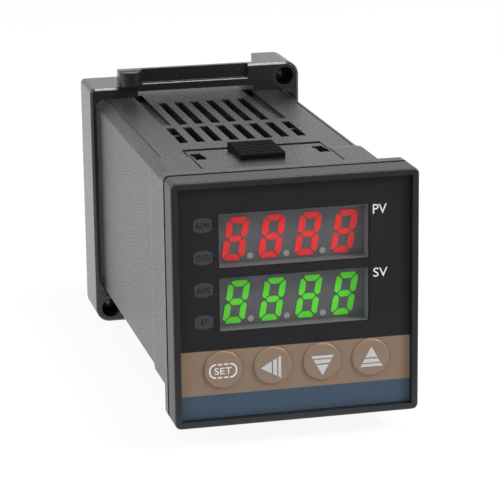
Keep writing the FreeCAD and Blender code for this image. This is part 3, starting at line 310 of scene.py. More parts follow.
sideBoard = solderMask("GreenSolderMaskLong", "Y", "Z")
frontBoard = solderMask("GreenSolderMaskFront", "X", "Z")

plating = {"patchMm": 1.4, "patchDetail": 3.0, "wearMm": 0.6}


def platedMetal(name, colour, tint, rough, grainMm, depthMm):
    # Barrel-plated metal: a bright even coat with faint patches of tint and tiny dents from the barrel.
    material, tree, shader = newMaterial(name, {"Metallic": 1.0})
    patches = speckle(tree, plating["patchMm"], plating["patchDetail"])
    setColour(tree, shader, patches, linearColour(colour), linearColour(tint))
    setRoughness(tree, shader, speckle(tree, plating["wearMm"]), rough)
    raiseBump(tree, shader, speckle(tree, grainMm), depthMm)
    return material


zincSteel = platedMetal("ZincPlatedSteel", "c9cbd0", "b5b8b0",
                        rough=(0.26, 0.4), grainMm=0.3, depthMm=0.004)
dullSteel = platedMetal("DullZincPlatedSteel", "d6d8dc", "c2c5be",
                        rough=(0.55, 0.7), grainMm=0.3, depthMm=0.006)
nickelBrass = platedMetal("NickelPlatedBrass", "cfc9b4", "bdb59c",
                          rough=(0.22, 0.34), grainMm=0.5, depthMm=0.003)
solderTin = platedMetal("ReflowedSolder", "c4c6ca", "aeb0b4",
                        rough=(0.22, 0.4), grainMm=0.4, depthMm=0.006)
goldFlash = platedMetal("GoldFlashedCopper", "e3bd62", "d8ac4a",
                        rough=(0.2, 0.3), grainMm=0.6, depthMm=0.002)

# A band texture repeats every 2 pi / 20 units at scale 1.
tape = {"ior": 1.57, "colour": "b8901e", "darkBy": 0.72, "lapMm": 4.2, "lapDepthMm": 0.05,
        "bandLong": 2 * math.pi / 20, "wearMm": 2.0, "rough": (0.18, 0.32)}


def wrappedTape(name):
    # Yellow polyester tape wound round the coil: glossy, with the edge of each lap just proud.
    material, tree, shader = newMaterial(name, {"IOR": tape["ior"]})
    laps = addNode(tree, "ShaderNodeTexWave",
                   {"wave_type": "BANDS", "bands_direction": "X", "wave_profile": "SAW",
                    "Scale": tape["bandLong"] / (tape["lapMm"] * mm), "Distortion": 0.0},
                   {"Vector": objectPlace(tree)}).outputs["Fac"]
    base = linearColour(tape["colour"])
    setColour(tree, shader, laps, shaded(base, tape["darkBy"]), base)
    setRoughness(tree, shader, speckle(tree, tape["wearMm"]), tape["rough"])
    raiseBump(tree, shader, laps, tape["lapDepthMm"])
    return material


coilTape = wrappedTape("YellowPolyesterTape")

ferrite = {"ior": 2.0, "dark": "35363a", "pale": "4a4b50", "patchMm": 0.8, "patchDetail": 4.0,
           "wearMm": 0.5, "rough": (0.5, 0.7), "pitMm": 0.35, "pitDepthMm": 0.02}


def sinteredFerrite(name):
    # Pressed and fired ferrite: dark grey, dry, with fine pits.
    material, tree, shader = newMaterial(name, {"IOR": ferrite["ior"]})
    pits = addNode(tree, "ShaderNodeTexVoronoi", {"Scale": 1 / (ferrite["pitMm"] * mm)},
                   {"Vector": objectPlace(tree)}).outputs["Distance"]
    patches = speckle(tree, ferrite["patchMm"], ferrite["patchDetail"])
    setColour(tree, shader, patches, linearColour(ferrite["dark"]), linearColour(ferrite["pale"]))
    setRoughness(tree, shader, speckle(tree, ferrite["wearMm"]), ferrite["rough"])
    raiseBump(tree, shader, pits, ferrite["pitDepthMm"])
    return material


coreFerrite = sinteredFerrite("SinteredFerrite")

can = {"ior": 1.5, "sleeve": "20242e", "bare": "c8c9cc", "endFacing": 0.97, "wearMm": 1.5,
       "rough": (0.25, 0.4)}


def sleevedCan(name):
    # Aluminium can in a shrunk dark sleeve, which leaves the pressed end bare.
    material, tree, shader = newMaterial(name, {"IOR": can["ior"]})
    facing = addNode(tree, "ShaderNodeSeparateXYZ",
                     links={"Vector": addNode(tree, "ShaderNodeNewGeometry").outputs["Normal"]})
    bare = addNode(tree, "ShaderNodeMath", {"operation": "GREATER_THAN", 1: can["endFacing"]},
                   {0: facing.outputs["X"]}).outputs["Value"]
    setColour(tree, shader, bare, linearColour(can["sleeve"]), linearColour(can["bare"]))
    tree.links.new(bare, shader.inputs["Metallic"])
    setRoughness(tree, shader, speckle(tree, can["wearMm"]), can["rough"])
    return material


canSleeve = sleevedCan("SleevedAluminiumCan")

inkFinish = {"ior": 1.5, "gloss": 0.2, "thinBy": 0.93, "meshMm": 0.35, "wearMm": 0.5,
             "roughSpread": (-0.04, 0.06)}


def screenInk(name, colour, rough=0.5):
    # Screen-printed ink: flat colour whose thickness varies a little with the mesh.
    material, tree, shader = newMaterial(name, {
        "IOR": inkFinish["ior"], "Specular IOR Level": inkFinish["gloss"]})
    base = linearColour(colour)
    setColour(tree, shader, speckle(tree, inkFinish["meshMm"]), shaded(base, inkFinish["thinBy"]), base)
    setRoughness(tree, shader, speckle(tree, inkFinish["wearMm"]),
                 [rough + spread for spread in inkFinish["roughSpread"]])
    return material


whiteInk = screenInk("WhiteScreenInk", "dcdedf")
silverInk = screenInk("SilverScreenInk", "b9bab9")
greyInk = screenInk("GreyLampInk", "3c3d40")
blackInk = screenInk("BlackLegendInk", "17171a")
resistorGlaze = screenInk("ResistorGlaze", "1b1b1c", rough=0.3)

finishes = {
    "case_shell": satinAbs, "release_tongue": satinAbs, "release_tab": tabAbs,
    "terminal_block": filledPbt, "mounting_bracket": moulded, "front_bezel": bezelAbs,
    "face_overlay": velvetFilm, "key_set": domedFilm, "key_left": domedFilm,
    "key_down": domedFilm, "key_up": domedFilm,
    "pv_lens": windowFilm, "sv_lens": windowFilm, "pv_display": displayPaint, "sv_display": displayPaint,
    "pv_segments": litRed, "sv_segments": litGreen, "pv_points": cloudyResin, "sv_points": cloudyResin,
    "indicator_leds": cloudyResin, "display_board": frontBoard,
    "power_board": sideBoard, "control_board": sideBoard,
    "tact_switches": switchNylon, "board_tie": switchNylon,
    "terminal_contacts": nickelBrass, "clamp_washers": nickelBrass,
    "terminal_screws": zincSteel, "clamp_screw_upper": dullSteel, "clamp_screw_lower": dullSteel,
    "transformer_core": coreFerrite, "transformer_coil": coilTape, "output_relay": relayAbs,
    "filter_capacitors": canSleeve, "control_chips": chipEpoxy,
}
for nodeName, material in finishes.items():
    setMaterial(nodes[nodeName], material)
print("finishes on", len(finishes), "nodes")


# Making pieces

def newObject(name, data):
    item = bpy.data.objects.new(name, data)
    bpy.context.scene.collection.objects.link(item)
    return item


def addPiece(name, mesh, material, body):
    piece = newObject(name, mesh)
    setMaterial(piece, material)
    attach(piece, body)
    return piece


def plainMesh(holder):
    # A holder's final shape as a mesh of its own. The holder and its modifiers go.
    bpy.context.view_layer.update()
    mesh = bpy.data.meshes.new_from_object(holder.evaluated_get(bpy.context.evaluated_depsgraph_get()))
    holder.modifiers.clear()
    bpy.data.objects.remove(holder)
    return mesh


def meshFrom(shape, name):
    mesh = bpy.data.meshes.new(name)
    shape.to_mesh(mesh)
    shape.free()
    return mesh


def closedMesh(shape, name):
    bmesh.ops.recalc_face_normals(shape, faces=shape.faces)
    return meshFrom(shape, name)


def bridgeRings(shape, rings):
    # Faces between each ring of points and the next.
    for here, there in zip(rings, rings[1:]):
        for i in range(len(here)):
            j = (i + 1) % len(here)
            shape.faces.new((here[i], here[j], there[j], there[i]))


def prism(outlines, thickness):
    # Flat outlines drawn as (x, z), given a thickness towards -y from y = 0.
    shape = bmesh.new()
    for outline in outlines:
        back = [shape.verts.new((x, 0, z)) for x, z in outline]
        front = [shape.verts.new((x, -thickness, z)) for x, z in outline]
        shape.faces.new(back)
        shape.faces.new(front[::-1])
        count = len(outline)
        for i in range(count):
            shape.faces.new((back[i], front[i], front[(i + 1) % count], back[(i + 1) % count]))
    return closedMesh(shape, "print")


def ribbon(points, wide):
    # Outline of a stroke of even width along a line of points.
    half = wide / 2
    left, right = [], []
    for i, (x, z) in enumerate(points):
        ahead, behind = points[min(i + 1, len(points) - 1)], points[max(i - 1, 0)]
        run = Vector((ahead[0] - behind[0], ahead[1] - behind[1])).normalized()
        left.append((x - run.y * half, z + run.x * half))
        right.append((x + run.y * half, z - run.x * half))
    return [[left[i], left[i + 1], right[i + 1], right[i]] for i in range(len(points) - 1)]


def textMesh(words, wide, high, thickness):
    # Sans-serif words stretched to a width and a height, standing upright and facing -y.
    curve = bpy.data.curves.new("words", "FONT")
    curve.body = words
    curve.resolution_u = 4
    mesh = plainMesh(newObject("words", curve))
    bpy.data.curves.remove(curve)
    xs, ys = [v.co.x for v in mesh.vertices], [v.co.y for v in mesh.vertices]
    middle = Vector(((min(xs) + max(xs)) / 2, (min(ys) + max(ys)) / 2, 0))
    scale = (wide / (max(xs) - min(xs)), high / (max(ys) - min(ys)))
    shape = bmesh.new()
    shape.from_mesh(mesh)
    for vert in shape.verts:
        vert.co = Vector(((vert.co.x - middle.x) * scale[0], 0, (vert.co.y - middle.y) * scale[1]))
    grown = bmesh.ops.extrude_face_region(shape, geom=list(shape.faces))
    front = [item for item in grown["geom"] if isinstance(item, bmesh.types.BMVert)]
    bmesh.ops.translate(shape, vec=(0, -thickness, 0), verts=front)
    bmesh.ops.recalc_face_normals(shape, faces=shape.faces)
    shape.to_mesh(mesh)
    shape.free()
    return mesh


def moved(mesh, place):
    mesh.transform(Matrix.Translation(place))
    return mesh


# Geometry Nodes: rows of one small shape, some left out at random

def newGeometryTree(name, inputs):
    tree = bpy.data.node_groups.new(name, "GeometryNodeTree")
    tree.interface.new_socket("Geometry", in_out="OUTPUT", socket_type="NodeSocketGeometry")
    for label, kind in inputs.items():
        tree.interface.new_socket(label, in_out="INPUT", socket_type="NodeSocket" + kind)
    return tree, addNode(tree, "NodeGroupInput").outputs


def endGeometryTree(tree, geometry, material):
    real = addNode(tree, "GeometryNodeRealizeInstances", links={"Geometry": geometry})
    painted = addNode(tree, "GeometryNodeSetMaterial",
                      links={"Geometry": real.outputs["Geometry"], "Material": material})
    addNode(tree, "NodeGroupOutput", links={"Geometry": painted.outputs["Geometry"]})


def rowsTree(name, shapeKind, shapeSettings):
    tree, given = newGeometryTree(name, {
        "Columns": "Int", "Rows": "Int", "Column Step": "Float", "Row Step": "Float", "Size": "Vector",
        "Left Out": "Float", "Seed": "Int", "Material": "Material"})

    def spanOf(count, step):
        gaps = addNode(tree, "ShaderNodeMath", {"operation": "SUBTRACT", 1: 1.0}, {0: given[count]})
        return addNode(tree, "ShaderNodeMath", {"operation": "MULTIPLY"},
                       {0: gaps.outputs["Value"], 1: given[step]}).outputs["Value"]

    grid = addNode(tree, "GeometryNodeMeshGrid", links={
        "Size X": spanOf("Columns", "Column Step"), "Size Y": spanOf("Rows", "Row Step"),
        "Vertices X": given["Columns"], "Vertices Y": given["Rows"]})
    # The random node's outputs share one name, and its fourth is the yes or no.
    chance = addNode(tree, "FunctionNodeRandomValue", {"data_type": "BOOLEAN"},
                     {"Probability": given["Left Out"], "Seed": given["Seed"]})
    kept = addNode(tree, "GeometryNodeDeleteGeometry", {"domain": "POINT"},
                   {"Geometry": grid.outputs["Mesh"], "Selection": chance.outputs[3]})
    shape = addNode(tree, shapeKind, shapeSettings)
    sized = addNode(tree, "GeometryNodeTransform",
                    links={"Geometry": shape.outputs["Mesh"], "Scale": given["Size"]})
    placed = addNode(tree, "GeometryNodeInstanceOnPoints",
                     links={"Points": kept.outputs["Geometry"], "Instance": sized.outputs["Geometry"]})
    endGeometryTree(tree, placed.outputs["Instances"], given["Material"])
    return tree


boxRows = rowsTree("BoxRows", "GeometryNodeMeshCube", {"Size": (1.0, 1.0, 1.0)})
domeRows = rowsTree("DomeRows", "GeometryNodeMeshUVSphere", {"Segments": 8, "Rings": 5, "Radius": 0.5})


def growMesh(tree, settings):
    # Runs a tree on an empty mesh and returns the result as a plain mesh.
    holder = newObject("holder", bpy.data.meshes.new("holder"))
    modifier = holder.modifiers.new("rows", "NODES")
    modifier.node_group = tree
    sockets = {item.name: item.identifier for item in tree.interface.items_tree if item.in_out == "INPUT"}
    for label, value in settings.items():
        modifier[sockets[label]] = value
    holder.update_tag()
    return plainMesh(holder)


def addRows(name, tree, grid, material, place, turn, body):
    # A grid's rows run along x and its columns along y. It faces +z until it is turned and put in place.
    mesh = growMesh(tree, {
        "Columns": grid["count"][0], "Rows": grid["count"][1],
        "Column Step": grid["step"][0], "Row Step": grid["step"][1],
        "Size": [s * mm for s in grid["sizeMm"]], "Left Out": grid.get("leftOut", 0.0),
        "Seed": grid.get("seed", 1), "Material": material})
    mesh.transform(Matrix.Translation(place) @ turn.to_4x4())
    return addPiece(name, mesh, material, body)


# Turns for a grid: the first two lay its rows along y, the others along x, and its columns stand along z.
facingLeft = Matrix(((0, 0, -1), (1, 0, 0), (0, -1, 0)))
facingRight = Matrix(((0, 0, 1), (1, 0, 0), (0, 1, 0)))
facingBack = Matrix(((-1, 0, 0), (0, 0, 1), (0, 1, 0)))
facingFront = Matrix(((1, 0, 0), (0, 0, -1), (0, 1, 0)))


# Print on the face

legends = {"thickMm": 0.02, "words": {"PV": {"sizeMm": (2.7, 1.85), "placeMm": (16.5, 16.27)},
                                      "SV": {"sizeMm": (2.8, 1.78), "placeMm": (16.64, 3.83)}}}
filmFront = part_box("face_overlay")[0].y
thick = legends["thickMm"] * mm
for words, legend in legends["words"].items():
    mesh = textMesh(words, legend["sizeMm"][0] * mm, legend["sizeMm"][1] * mm, thick)
    place = (legend["placeMm"][0] * mm, filmFront, legend["placeMm"][1] * mm)
    addPiece("legend" + words, moved(mesh, place), whiteInk, "chassis")

badges = {"acrossMm": -17.87, "wideMm": 3.55, "highMm": 2.85, "crownMm": 0.5, "steps": 12,
          "words": ("ALM1", "OUT1", "ALM2", "AT"), "wordHighMm": 1.15, "letterMm": 0.66}


def barrel():
    # A badge's outline: straight sides and a bulging top and bottom.
    wide, high, crown = (badges[key] * mm for key in ("wideMm", "highMm", "crownMm"))
    line = [-1 + 2 * i / badges["steps"] for i in range(badges["steps"] + 1)]
    top = [(u * wide / 2, high / 2 - crown * u * u) for u in line]
    return top + [(-x, -z) for x, z in top]


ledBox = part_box("indicator_leds")
ledRadius = (ledBox[1].x - ledBox[0].x) / 2
highest, lowest = ledBox[1].z - ledRadius, ledBox[0].z + ledRadius
for i, words in enumerate(badges["words"]):
    height = highest + (lowest - highest) * i / (len(badges["words"]) - 1)
    place = Vector((badges["acrossMm"] * mm, filmFront, height))
    mesh = moved(prism([barrel()], thick), place)
    addPiece(f"lampPanel{i + 1}", mesh, greyInk, "chassis")
    mesh = textMesh(words, len(words) * badges["letterMm"] * mm, badges["wordHighMm"] * mm, thick)
    mesh = moved(mesh, place - Vector((0, thick, 0)))
    addPiece(f"lampLegend{i + 1}", mesh, blackInk, "chassis")

arrows = {"apexMm": -2.47, "baseMm": 1.52, "halfMm": 2.24, "cutsMm": ((-0.33, -0.05), (0.71, 0.95)),
          "shiftMm": (0.04, -0.32),
          "turns": {"left": lambda x, z: (x, z), "down": lambda x, z: (z, x), "up": lambda x, z: (z, -x)}}


def arrowOutlines():
    # A triangle with its apex towards -x, cut across by two gaps.
    slope = arrows["halfMm"] / (arrows["baseMm"] - arrows["apexMm"])
    stops = [arrows["apexMm"]] + [edge for cut in arrows["cutsMm"] for edge in cut] + [arrows["baseMm"]]
    outlines = []
    for start, end in zip(stops[::2], stops[1::2]):
        low, high = slope * (start - arrows["apexMm"]), slope * (end - arrows["apexMm"])
        corners = [(start, -low), (end, -high), (end, high), (start, low)]
        outlines.append([(x * mm, z * mm) for x, z in (corners if low > 0 else corners[:3])])
    return outlines


def keyFront(nodeName, shiftMm):
    # Where a key's legend is printed, a little off the cap's centre.
    low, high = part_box(nodeName)
    across, up = (shift * mm for shift in shiftMm)
    return Vector(((low.x + high.x) / 2 + across, low.y, (low.z + high.z) / 2 + up))


for way, turn in arrows["turns"].items():
    outlines = [[turn(x, z) for x, z in outline] for outline in arrowOutlines()]
    mesh = moved(prism(outlines, thick), keyFront("key_" + way, arrows["shiftMm"]))
    addPiece(way + "Arrow", mesh, silverInk, way + "_key")

setMark = {"wideMm": 5.2, "highMm": 2.6, "cornerMm": 1.15, "cornerSteps": 8,
           "strokeMm": 0.26, "tailMm": 1.37, "wordMm": (3.35, 1.32),
           "dashMm": 0.85, "dashStepMm": 1.22, "dashes": 2,
           "shiftMm": (-0.06, -0.2)}


def frameEnd(sign):
    # One end of the rounded frame round the word, as a line of points.
    wide, high, corner = setMark["wideMm"] / 2, setMark["highMm"] / 2, setMark["cornerMm"]
    points = [(setMark["tailMm"], high)]
    for up, start in ((1, 90), (-1, 0)):
        for i in range(setMark["cornerSteps"] + 1):
            angle = math.radians(start - 90 * i / setMark["cornerSteps"])
            points.append((wide - corner + corner * math.cos(angle),
                           up * (high - corner) + corner * math.sin(angle)))
    points.append((setMark["tailMm"], -high))
    return [(sign * x * mm, z * mm) for x, z in points]


setPlace = keyFront("key_set", setMark["shiftMm"])
strokes = ribbon(frameEnd(1), setMark["strokeMm"] * mm) + ribbon(frameEnd(-1), setMark["strokeMm"] * mm)
addPiece("setFrameEnds", moved(prism(strokes, thick), setPlace), whiteInk, "set_key")
mesh = textMesh("SET", setMark["wordMm"][0] * mm, setMark["wordMm"][1] * mm, thick)
addPiece("setLegend", moved(mesh, setPlace), whiteInk, "set_key")
dashes = {"count": (setMark["dashes"], 2), "step": (setMark["dashStepMm"] * mm, setMark["highMm"] * mm),
          "sizeMm": (setMark["dashMm"], setMark["strokeMm"], legends["thickMm"])}
addRows("setFrameDashes", boxRows, dashes, whiteInk, setPlace - Vector((0, thick / 2, 0)), facingFront,
        "set_key")
print("print on the face done")


# Walls of the display openings, in a grey that is painted light

opening = {"wallMm": 0.08, "lipMm": 0.2}


def openingWall(lensNode, displayNode, name):
    # Grey lining of the opening between the lens and the display module. Its grey is painted light: it
    # stands for light falling on the opening's dark walls.
    lensLow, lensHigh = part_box(lensNode)
    lip = opening["lipMm"] * mm
    front, back = lensHigh.y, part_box(displayNode)[0].y
    wall = opening["wallMm"] * mm
    shape = bmesh.new()
    rings = []
    for y, inset in ((front, 0.0), (front, wall), (back, wall), (back, 0.0)):
        left, right = lensLow.x + lip + inset, lensHigh.x - lip - inset
        low, high = lensLow.z + lip + inset, lensHigh.z - lip - inset
        rings.append([shape.verts.new(corner) for corner in
                      ((left, y, low), (right, y, low), (right, y, high), (left, y, high))])
    bridgeRings(shape, rings + rings[:1])
    addPiece(name, closedMesh(shape, name), openingLightPaint, "chassis")


openingWall("pv_lens", "pv_display", "upperOpeningPaintedLight")
openingWall("sv_lens", "sv_display", "lowerOpeningPaintedLight")


# Solder, pads and small parts on the boards

solderJoints = {"count": (24, 12), "step": (2.54 * mm, 2.54 * mm), "sizeMm": (1.5, 1.5, 0.8),
                "leftOut": 0.55, "behindMm": 0.5}
pads = {"count": (1, 5), "step": (0.0, 8.0 * mm), "sizeMm": (5.6, 3.6, 0.03), "fromEndMm": 3.2}
resistors = {"count": (9, 2), "step": (3.1 * mm, 2.2 * mm), "leftOut": 0.3, "placeMm": (62, -14.0),
             "parts": (("ResistorEnds", (1.6, 0.8, 0.42), solderTin, "circuit_board"),
                       ("Resistors", (1.05, 0.84, 0.5), resistorGlaze, "chip_resin"))}


def dressBoard(nodeName, side, seed):
    # Side is -1 for a board whose soldered face looks left and 1 for one whose soldered face looks right.
    low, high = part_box(nodeName)
    middle = (low + high) / 2
    outer, inner = (low.x, high.x) if side < 0 else (high.x, low.x)
    outward, inward = (facingLeft, facingRight) if side < 0 else (facingRight, facingLeft)
    label = nodeName.split("_")[0]
    addRows(label + "SolderJoints", domeRows, {**solderJoints, "seed": seed}, solderTin,
            (outer, middle.y + solderJoints["behindMm"] * mm, middle.z), outward,
            "chassis")
    addRows(label + "ContactPads", boxRows, pads, goldFlash,
            (outer + side * pads["sizeMm"][2] / 2 * mm, high.y - pads["fromEndMm"] * mm, middle.z),
            outward, "chassis")
    behindMm, upMm = resistors["placeMm"]
    for kind, sizeMm, material, slot in resistors["parts"]:
        place = (inner - side * sizeMm[2] / 2 * mm, low.y + behindMm * mm, upMm * mm)
        addRows(label + kind, boxRows, {**resistors, "sizeMm": sizeMm, "seed": seed + 1}, material,
                place, inward, "chassis")


dressBoard("power_board", side=-1, seed=4)
dressBoard("control_board", side=1, seed=9)

chipLow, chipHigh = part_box("control_chips")
chipLegs = {"columns": 7, "stepMm": 1.8, "spreadMm": 0.9, "sizeMm": (0.6, 1.3, 0.3), "chipLongMm": 14.0}
legGrid = {"count": (chipLegs["columns"], 2), "sizeMm": chipLegs["sizeMm"],
           "step": (chipLegs["stepMm"] * mm, chipHigh.z - chipLow.z + chipLegs["spreadMm"] * mm)}
for i, start in enumerate((chipLow.y, chipHigh.y - chipLegs["chipLongMm"] * mm)):
    place = (chipHigh.x - chipLegs["sizeMm"][2] / 2 * mm, start + chipLegs["chipLongMm"] / 2 * mm,
             (chipLow.z + chipHigh.z) / 2)
    addRows(f"chipLegs{i + 1}", boxRows, legGrid, solderTin, place, facingLeft,
            "chassis")

jumpers = {"behindMm": (71.5, 74.5, 77.5), "archMm": (1.6, 1.2, 1.8), "footMm": 15.6, "riseMm": 1.4,
           "steep": 8, "radiusMm": 0.3, "steps": 20, "around": 8}


def wireMesh(path, radius):
    # Round wire along a line of points that lies in a plane of constant y.
    shape = bmesh.new()
    angles = [2 * math.pi * i / jumpers["around"] for i in range(jumpers["around"])]
    side = Vector((0, 1, 0))
    rings = []
    for i, point in enumerate(path):
        run = (path[min(i + 1, len(path) - 1)] - path[max(i - 1, 0)]).normalized()
        up = run.cross(side)
        rings.append([shape.verts.new(point + (side * math.cos(a) + up * math.sin(a)) * radius)
                      for a in angles])
    bridgeRings(shape, rings)
    shape.faces.new(rings[0][::-1])
    shape.faces.new(rings[-1])
    return closedMesh(shape, "wire")


def jumperPath(behind, arch):
    # A wire that stands up from one long board, bows over what lies between and goes down to the other.
    left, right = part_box("power_board")[1].x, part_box("control_board")[0].x
    path = []
    for i in range(jumpers["steps"] + 1):
        share = i / jumpers["steps"]
        leg = min(1.0, jumpers["steep"] * share, jumpers["steep"] * (1 - share)) * jumpers["riseMm"]
        rise = leg + arch * 4 * share * (1 - share)
        path.append(Vector((left + (right - left) * share, behind * mm, (jumpers["footMm"] + rise) * mm)))
    return path


for i, (behind, arch) in enumerate(zip(jumpers["behindMm"], jumpers["archMm"])):
    mesh = wireMesh(jumperPath(behind, arch), jumpers["radiusMm"] * mm)
    addPiece(f"jumperWire{i + 1}", mesh, solderTin, "chassis")

displayPins = {"count": (12, 2), "step": (2.54 * mm, 8.2 * mm), "sizeMm": (1.3, 1.3, 1.1)}
for label, lensNode in (("upper", "pv_lens"), ("lower", "sv_lens")):
    low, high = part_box(lensNode)
    middle = (low + high) / 2
    addRows(label + "DisplayPins", domeRows, displayPins, solderTin,
            (middle.x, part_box("display_board")[1].y, middle.z), facingBack, "chassis")
print("board details done")


# Threaded clamp screws, which stand for the plain CAD ones

setScrew = {"coreMm": 1.7, "crestMm": 2.0, "pitchMm": 0.7, "coneMm": 1.4, "tipMm": 0.35,
            "slotMm": (0.6, 1.1), "around": 32, "threadSteps": 24}


def threadTree():
    # A ridge that winds round the screw's axis, closed at both ends.
    tree, given = newGeometryTree("ScrewThread", {
        "Turns": "Float", "Radius": "Float", "Length": "Float", "Ridge": "Float", "Steps": "Int",
        "Material": "Material"})
    spiral = addNode(tree, "GeometryNodeCurveSpiral",
                     links={"Resolution": given["Steps"], "Rotations": given["Turns"],
                            "Start Radius": given["Radius"], "End Radius": given["Radius"],
                            "Height": given["Length"]})
    upright = addNode(tree, "GeometryNodeSetCurveNormal", {"mode": "Z_UP"},
                      {"Curve": spiral.outputs["Curve"]})
    profile = addNode(tree, "GeometryNodeCurvePrimitiveCircle", {"Resolution": 4},
                      {"Radius": given["Ridge"]})
    swept = addNode(tree, "GeometryNodeCurveToMesh", {"Fill Caps": True},
                    {"Curve": upright.outputs["Curve"], "Profile Curve": profile.outputs["Curve"]})
    endGeometryTree(tree, swept.outputs["Mesh"], given["Material"])
    return tree


ridgeTree = threadTree()


def screwCore(length):
    # Cone point, core and slotted end, turned about z with the point at z = 0.
    core, around = setScrew["coreMm"], setScrew["around"]
    slotWide, slotDeep = setScrew["slotMm"]
    shape = bmesh.new()
    rings = []
    for radius, height in ((setScrew["tipMm"], 0.0), (core, setScrew["coneMm"]), (core, length / mm)):
        angles = [2 * math.pi * i / around for i in range(around)]
        rings.append([shape.verts.new((radius * math.cos(a) * mm, radius * math.sin(a) * mm, height * mm))
                      for a in angles])
    shape.faces.new(rings[0][::-1])
    shape.faces.new(rings[-1])
    bridgeRings(shape, rings)
    holder = newObject("holder", meshFrom(shape, "screwCore"))
    slotShape = bmesh.new()
    bmesh.ops.create_cube(slotShape, size=1.0)
    cutter = meshFrom(slotShape, "screwSlot")
    cutter.transform(Matrix.Translation((0, 0, length)) @ Matrix.Diagonal(
        (4 * core * mm, slotWide * mm, 2 * slotDeep * mm, 1)))
    tool = newObject("tool", cutter)
    cut = holder.modifiers.new("slot", "BOOLEAN")
    cut.object = tool
    cut.solver = "EXACT"
    mesh = plainMesh(holder)
    bpy.data.objects.remove(tool)
    return mesh


def addSetScrew(nodeName, name, body):
    low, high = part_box(nodeName)
    middle = (low + high) / 2
    length = high.y - low.y
    threaded = length - (setScrew["coneMm"] + setScrew["slotMm"][1] + setScrew["pitchMm"]) * mm
    ridge = growMesh(ridgeTree, {
        "Turns": threaded / (setScrew["pitchMm"] * mm), "Radius": setScrew["coreMm"] * mm,
        "Length": threaded, "Ridge": (setScrew["crestMm"] - setScrew["coreMm"]) * mm,
        "Steps": setScrew["threadSteps"], "Material": dullSteel})
    ridge.transform(Matrix.Translation((0, 0, (setScrew["coneMm"] + setScrew["pitchMm"] / 2) * mm)))
    shape = bmesh.new()
    shape.from_mesh(screwCore(length))
    shape.from_mesh(ridge)
    mesh = meshFrom(shape, name)
    alongY = Matrix(((1, 0, 0), (0, 0, 1), (0, -1, 0))).to_4x4()
    mesh.transform(Matrix.Translation((middle.x, low.y, middle.z)) @ alongY)
    piece = addPiece(name, mesh, dullSteel, body)
    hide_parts(nodeName)


addSetScrew("clamp_screw_upper", "threadedScrewUpper", "upper_screw")
addSetScrew("clamp_screw_lower", "threadedScrewLower", "lower_screw")
print("threaded screws done")


# Floor, light and camera

white = (1, 1, 1, 1)
studio = {"floorMm": 3000, "floorDropMm": 0.02, "paper": "f2f2f2", "floorShare": 0.86, "floorSeen": 1.06,
          "floorMirrored": 1.12, "floorFadeMm": (-60, -5),
          "ambient": 0.33, "front": 0.12, "back": 0.88, "worldFade": (-0.8, 0.1)}


def seenRays(tree):
    # What the lens sees, straight or through a clear part, and what a gloss mirrors.
    path = addNode(tree, "ShaderNodeLightPath").outputs
    lens = addNode(tree, "ShaderNodeMath", {"operation": "MAXIMUM"},
                   {0: path["Is Camera Ray"], 1: path["Is Transmission Ray"]}).outputs["Value"]
    return lens, path["Is Glossy Ray"]


def fade(tree, along, ends, low, high):
    # A soft step from low to high between two ends.
    return addNode(tree, "ShaderNodeMapRange",
                   {"interpolation_type": "SMOOTHSTEP", "From Min": ends[0], "From Max": ends[1],
                    "To Min": low, "To Max": high}, {"Value": along}).outputs["Result"]


def whitePaper():
    # Matt white paper that glows where the lens sees it. A gloss sees it dark in front of the part.
    material = bpy.data.materials.new("WhitePaperSweep")
    material.use_nodes = True
    tree = material.node_tree
    tree.nodes.clear()
    paper = addNode(tree, "ShaderNodeBsdfDiffuse", {"Color": linearColour(studio["paper"])})
    lens, mirror = seenRays(tree)
    along = addNode(tree, "ShaderNodeSeparateXYZ", links={"Vector": objectPlace(tree)}).outputs["Y"]
    ends = [end * mm for end in studio["floorFadeMm"]]
    mirrored = fade(tree, along, ends, studio["front"], studio["floorMirrored"])
    # Of this node's plain numbers 0 is the share, 2 the first and 3 the second.
    strength = addNode(tree, "ShaderNodeMix", {"data_type": "FLOAT", 3: studio["floorSeen"]},
                       {0: lens, 2: mirrored}).outputs[0]
    glow = addNode(tree, "ShaderNodeEmission", {"Color": white}, {"Strength": strength})
    seen = addNode(tree, "ShaderNodeMath", {"operation": "MAXIMUM"}, {0: lens, 1: mirror})
    share = addNode(tree, "ShaderNodeMath", {"operation": "MULTIPLY", 1: studio["floorShare"]},
                    {0: seen.outputs["Value"]})
    mixed = addNode(tree, "ShaderNodeMixShader", links={
        0: share.outputs["Value"], 1: paper.outputs["BSDF"], 2: glow.outputs["Emission"]})
    addNode(tree, "ShaderNodeOutputMaterial", links={"Surface": mixed.outputs["Shader"]})
    return material


def studioFloor():
    half = studio["floorMm"] / 2 * mm
    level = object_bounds()[0].z - studio["floorDropMm"] * mm
    mesh = bpy.data.meshes.new("floor")
    corners = [(-half, -half, level), (half, -half, level), (half, half, level), (-half, half, level)]
    mesh.from_pydata(corners, [], [(0, 1, 2, 3)])
    floor = newObject("floor", mesh)
    mesh.materials.append(whitePaper())


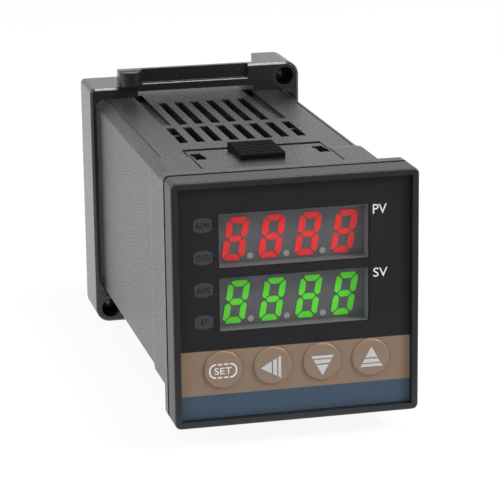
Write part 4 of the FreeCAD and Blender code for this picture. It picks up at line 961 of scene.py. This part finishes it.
def studioWorld():
    # White all round as the lens sees it; as a gloss mirrors it, dim in front, where the room is dark.
    world = bpy.data.worlds.new("Studio")
    bpy.context.scene.world = world
    world.use_nodes = True
    tree = world.node_tree
    tree.nodes.clear()
    lens, mirror = seenRays(tree)
    way = addNode(tree, "ShaderNodeSeparateXYZ",
                  links={"Vector": addNode(tree, "ShaderNodeTexCoord").outputs["Generated"]}).outputs["Y"]
    level = fade(tree, way, studio["worldFade"], studio["front"], studio["back"])
    ambient = addNode(tree, "ShaderNodeBackground", {"Color": white, "Strength": studio["ambient"]})
    mirrored = addNode(tree, "ShaderNodeBackground", {"Color": white}, {"Strength": level})
    seen = addNode(tree, "ShaderNodeBackground", {"Color": white, "Strength": 1.0})
    unseen = addNode(tree, "ShaderNodeMixShader", links={
        0: mirror, 1: ambient.outputs["Background"], 2: mirrored.outputs["Background"]})
    whole = addNode(tree, "ShaderNodeMixShader", links={
        0: lens, 1: unseen.outputs["Shader"], 2: seen.outputs["Background"]})
    addNode(tree, "ShaderNodeOutputWorld", links={"Surface": whole.outputs["Shader"]})


lamps = {
    "softLeft": {"place": (-0.62, -0.18, 0.34), "watts": 2.2, "wide": 0.5},
    "softTop": {"place": (0.15, -0.08, 0.75), "watts": 2.2, "wide": 0.2},
    "softRight": {"place": (0.45, -0.3, 0.4), "watts": 2.7, "wide": 0.15},
    "softFront": {"place": (0.25, -0.75, 0.25), "watts": 0.5, "wide": 0.7},
}


def addLamp(name, lamp):
    # A square lamp, placed in metres, that looks at the middle of the part.
    data = bpy.data.lights.new(name, "AREA")
    data.energy = lamp["watts"]
    data.size = lamp["wide"]
    item = newObject(name, data)
    target = (Vector(cadBox[0]) + Vector(cadBox[1])) / 2
    place = Vector(lamp["place"])
    item.location = place
    item.rotation_euler = (target - place).to_track_quat("-Z", "Y").to_euler()


rig = {"placeMm": (-106.5, -422.9, 124.7), "yawDeg": 13.26, "pitchDeg": 15.07, "rollDeg": -0.73,
       "lensMm": 169.33, "sensorMm": 36.0, "clipMm": 10}


def addCamera():
    yaw, pitch, roll = (math.radians(rig[key]) for key in ("yawDeg", "pitchDeg", "rollDeg"))
    ahead = Vector((math.sin(yaw) * math.cos(pitch), math.cos(yaw) * math.cos(pitch), -math.sin(pitch)))
    right = Vector((math.cos(yaw), -math.sin(yaw), 0))
    up = right.cross(ahead)
    rolledRight = right * math.cos(roll) + up * math.sin(roll)
    rolledUp = up * math.cos(roll) - right * math.sin(roll)
    data = bpy.data.cameras.new("camera")
    data.lens = rig["lensMm"]
    data.sensor_width = rig["sensorMm"]
    data.clip_start = rig["clipMm"] * mm
    camera = newObject("camera", data)
    turn = Matrix((rolledRight, rolledUp, -ahead)).transposed().to_4x4()
    camera.matrix_world = Matrix.Translation(Vector(rig["placeMm"]) * mm) @ turn
    bpy.context.scene.camera = camera


studioFloor()
studioWorld()
for name, lamp in lamps.items():
    addLamp(name, lamp)
addCamera()
bpy.context.scene.view_settings.view_transform = "Standard"
print("studio done")
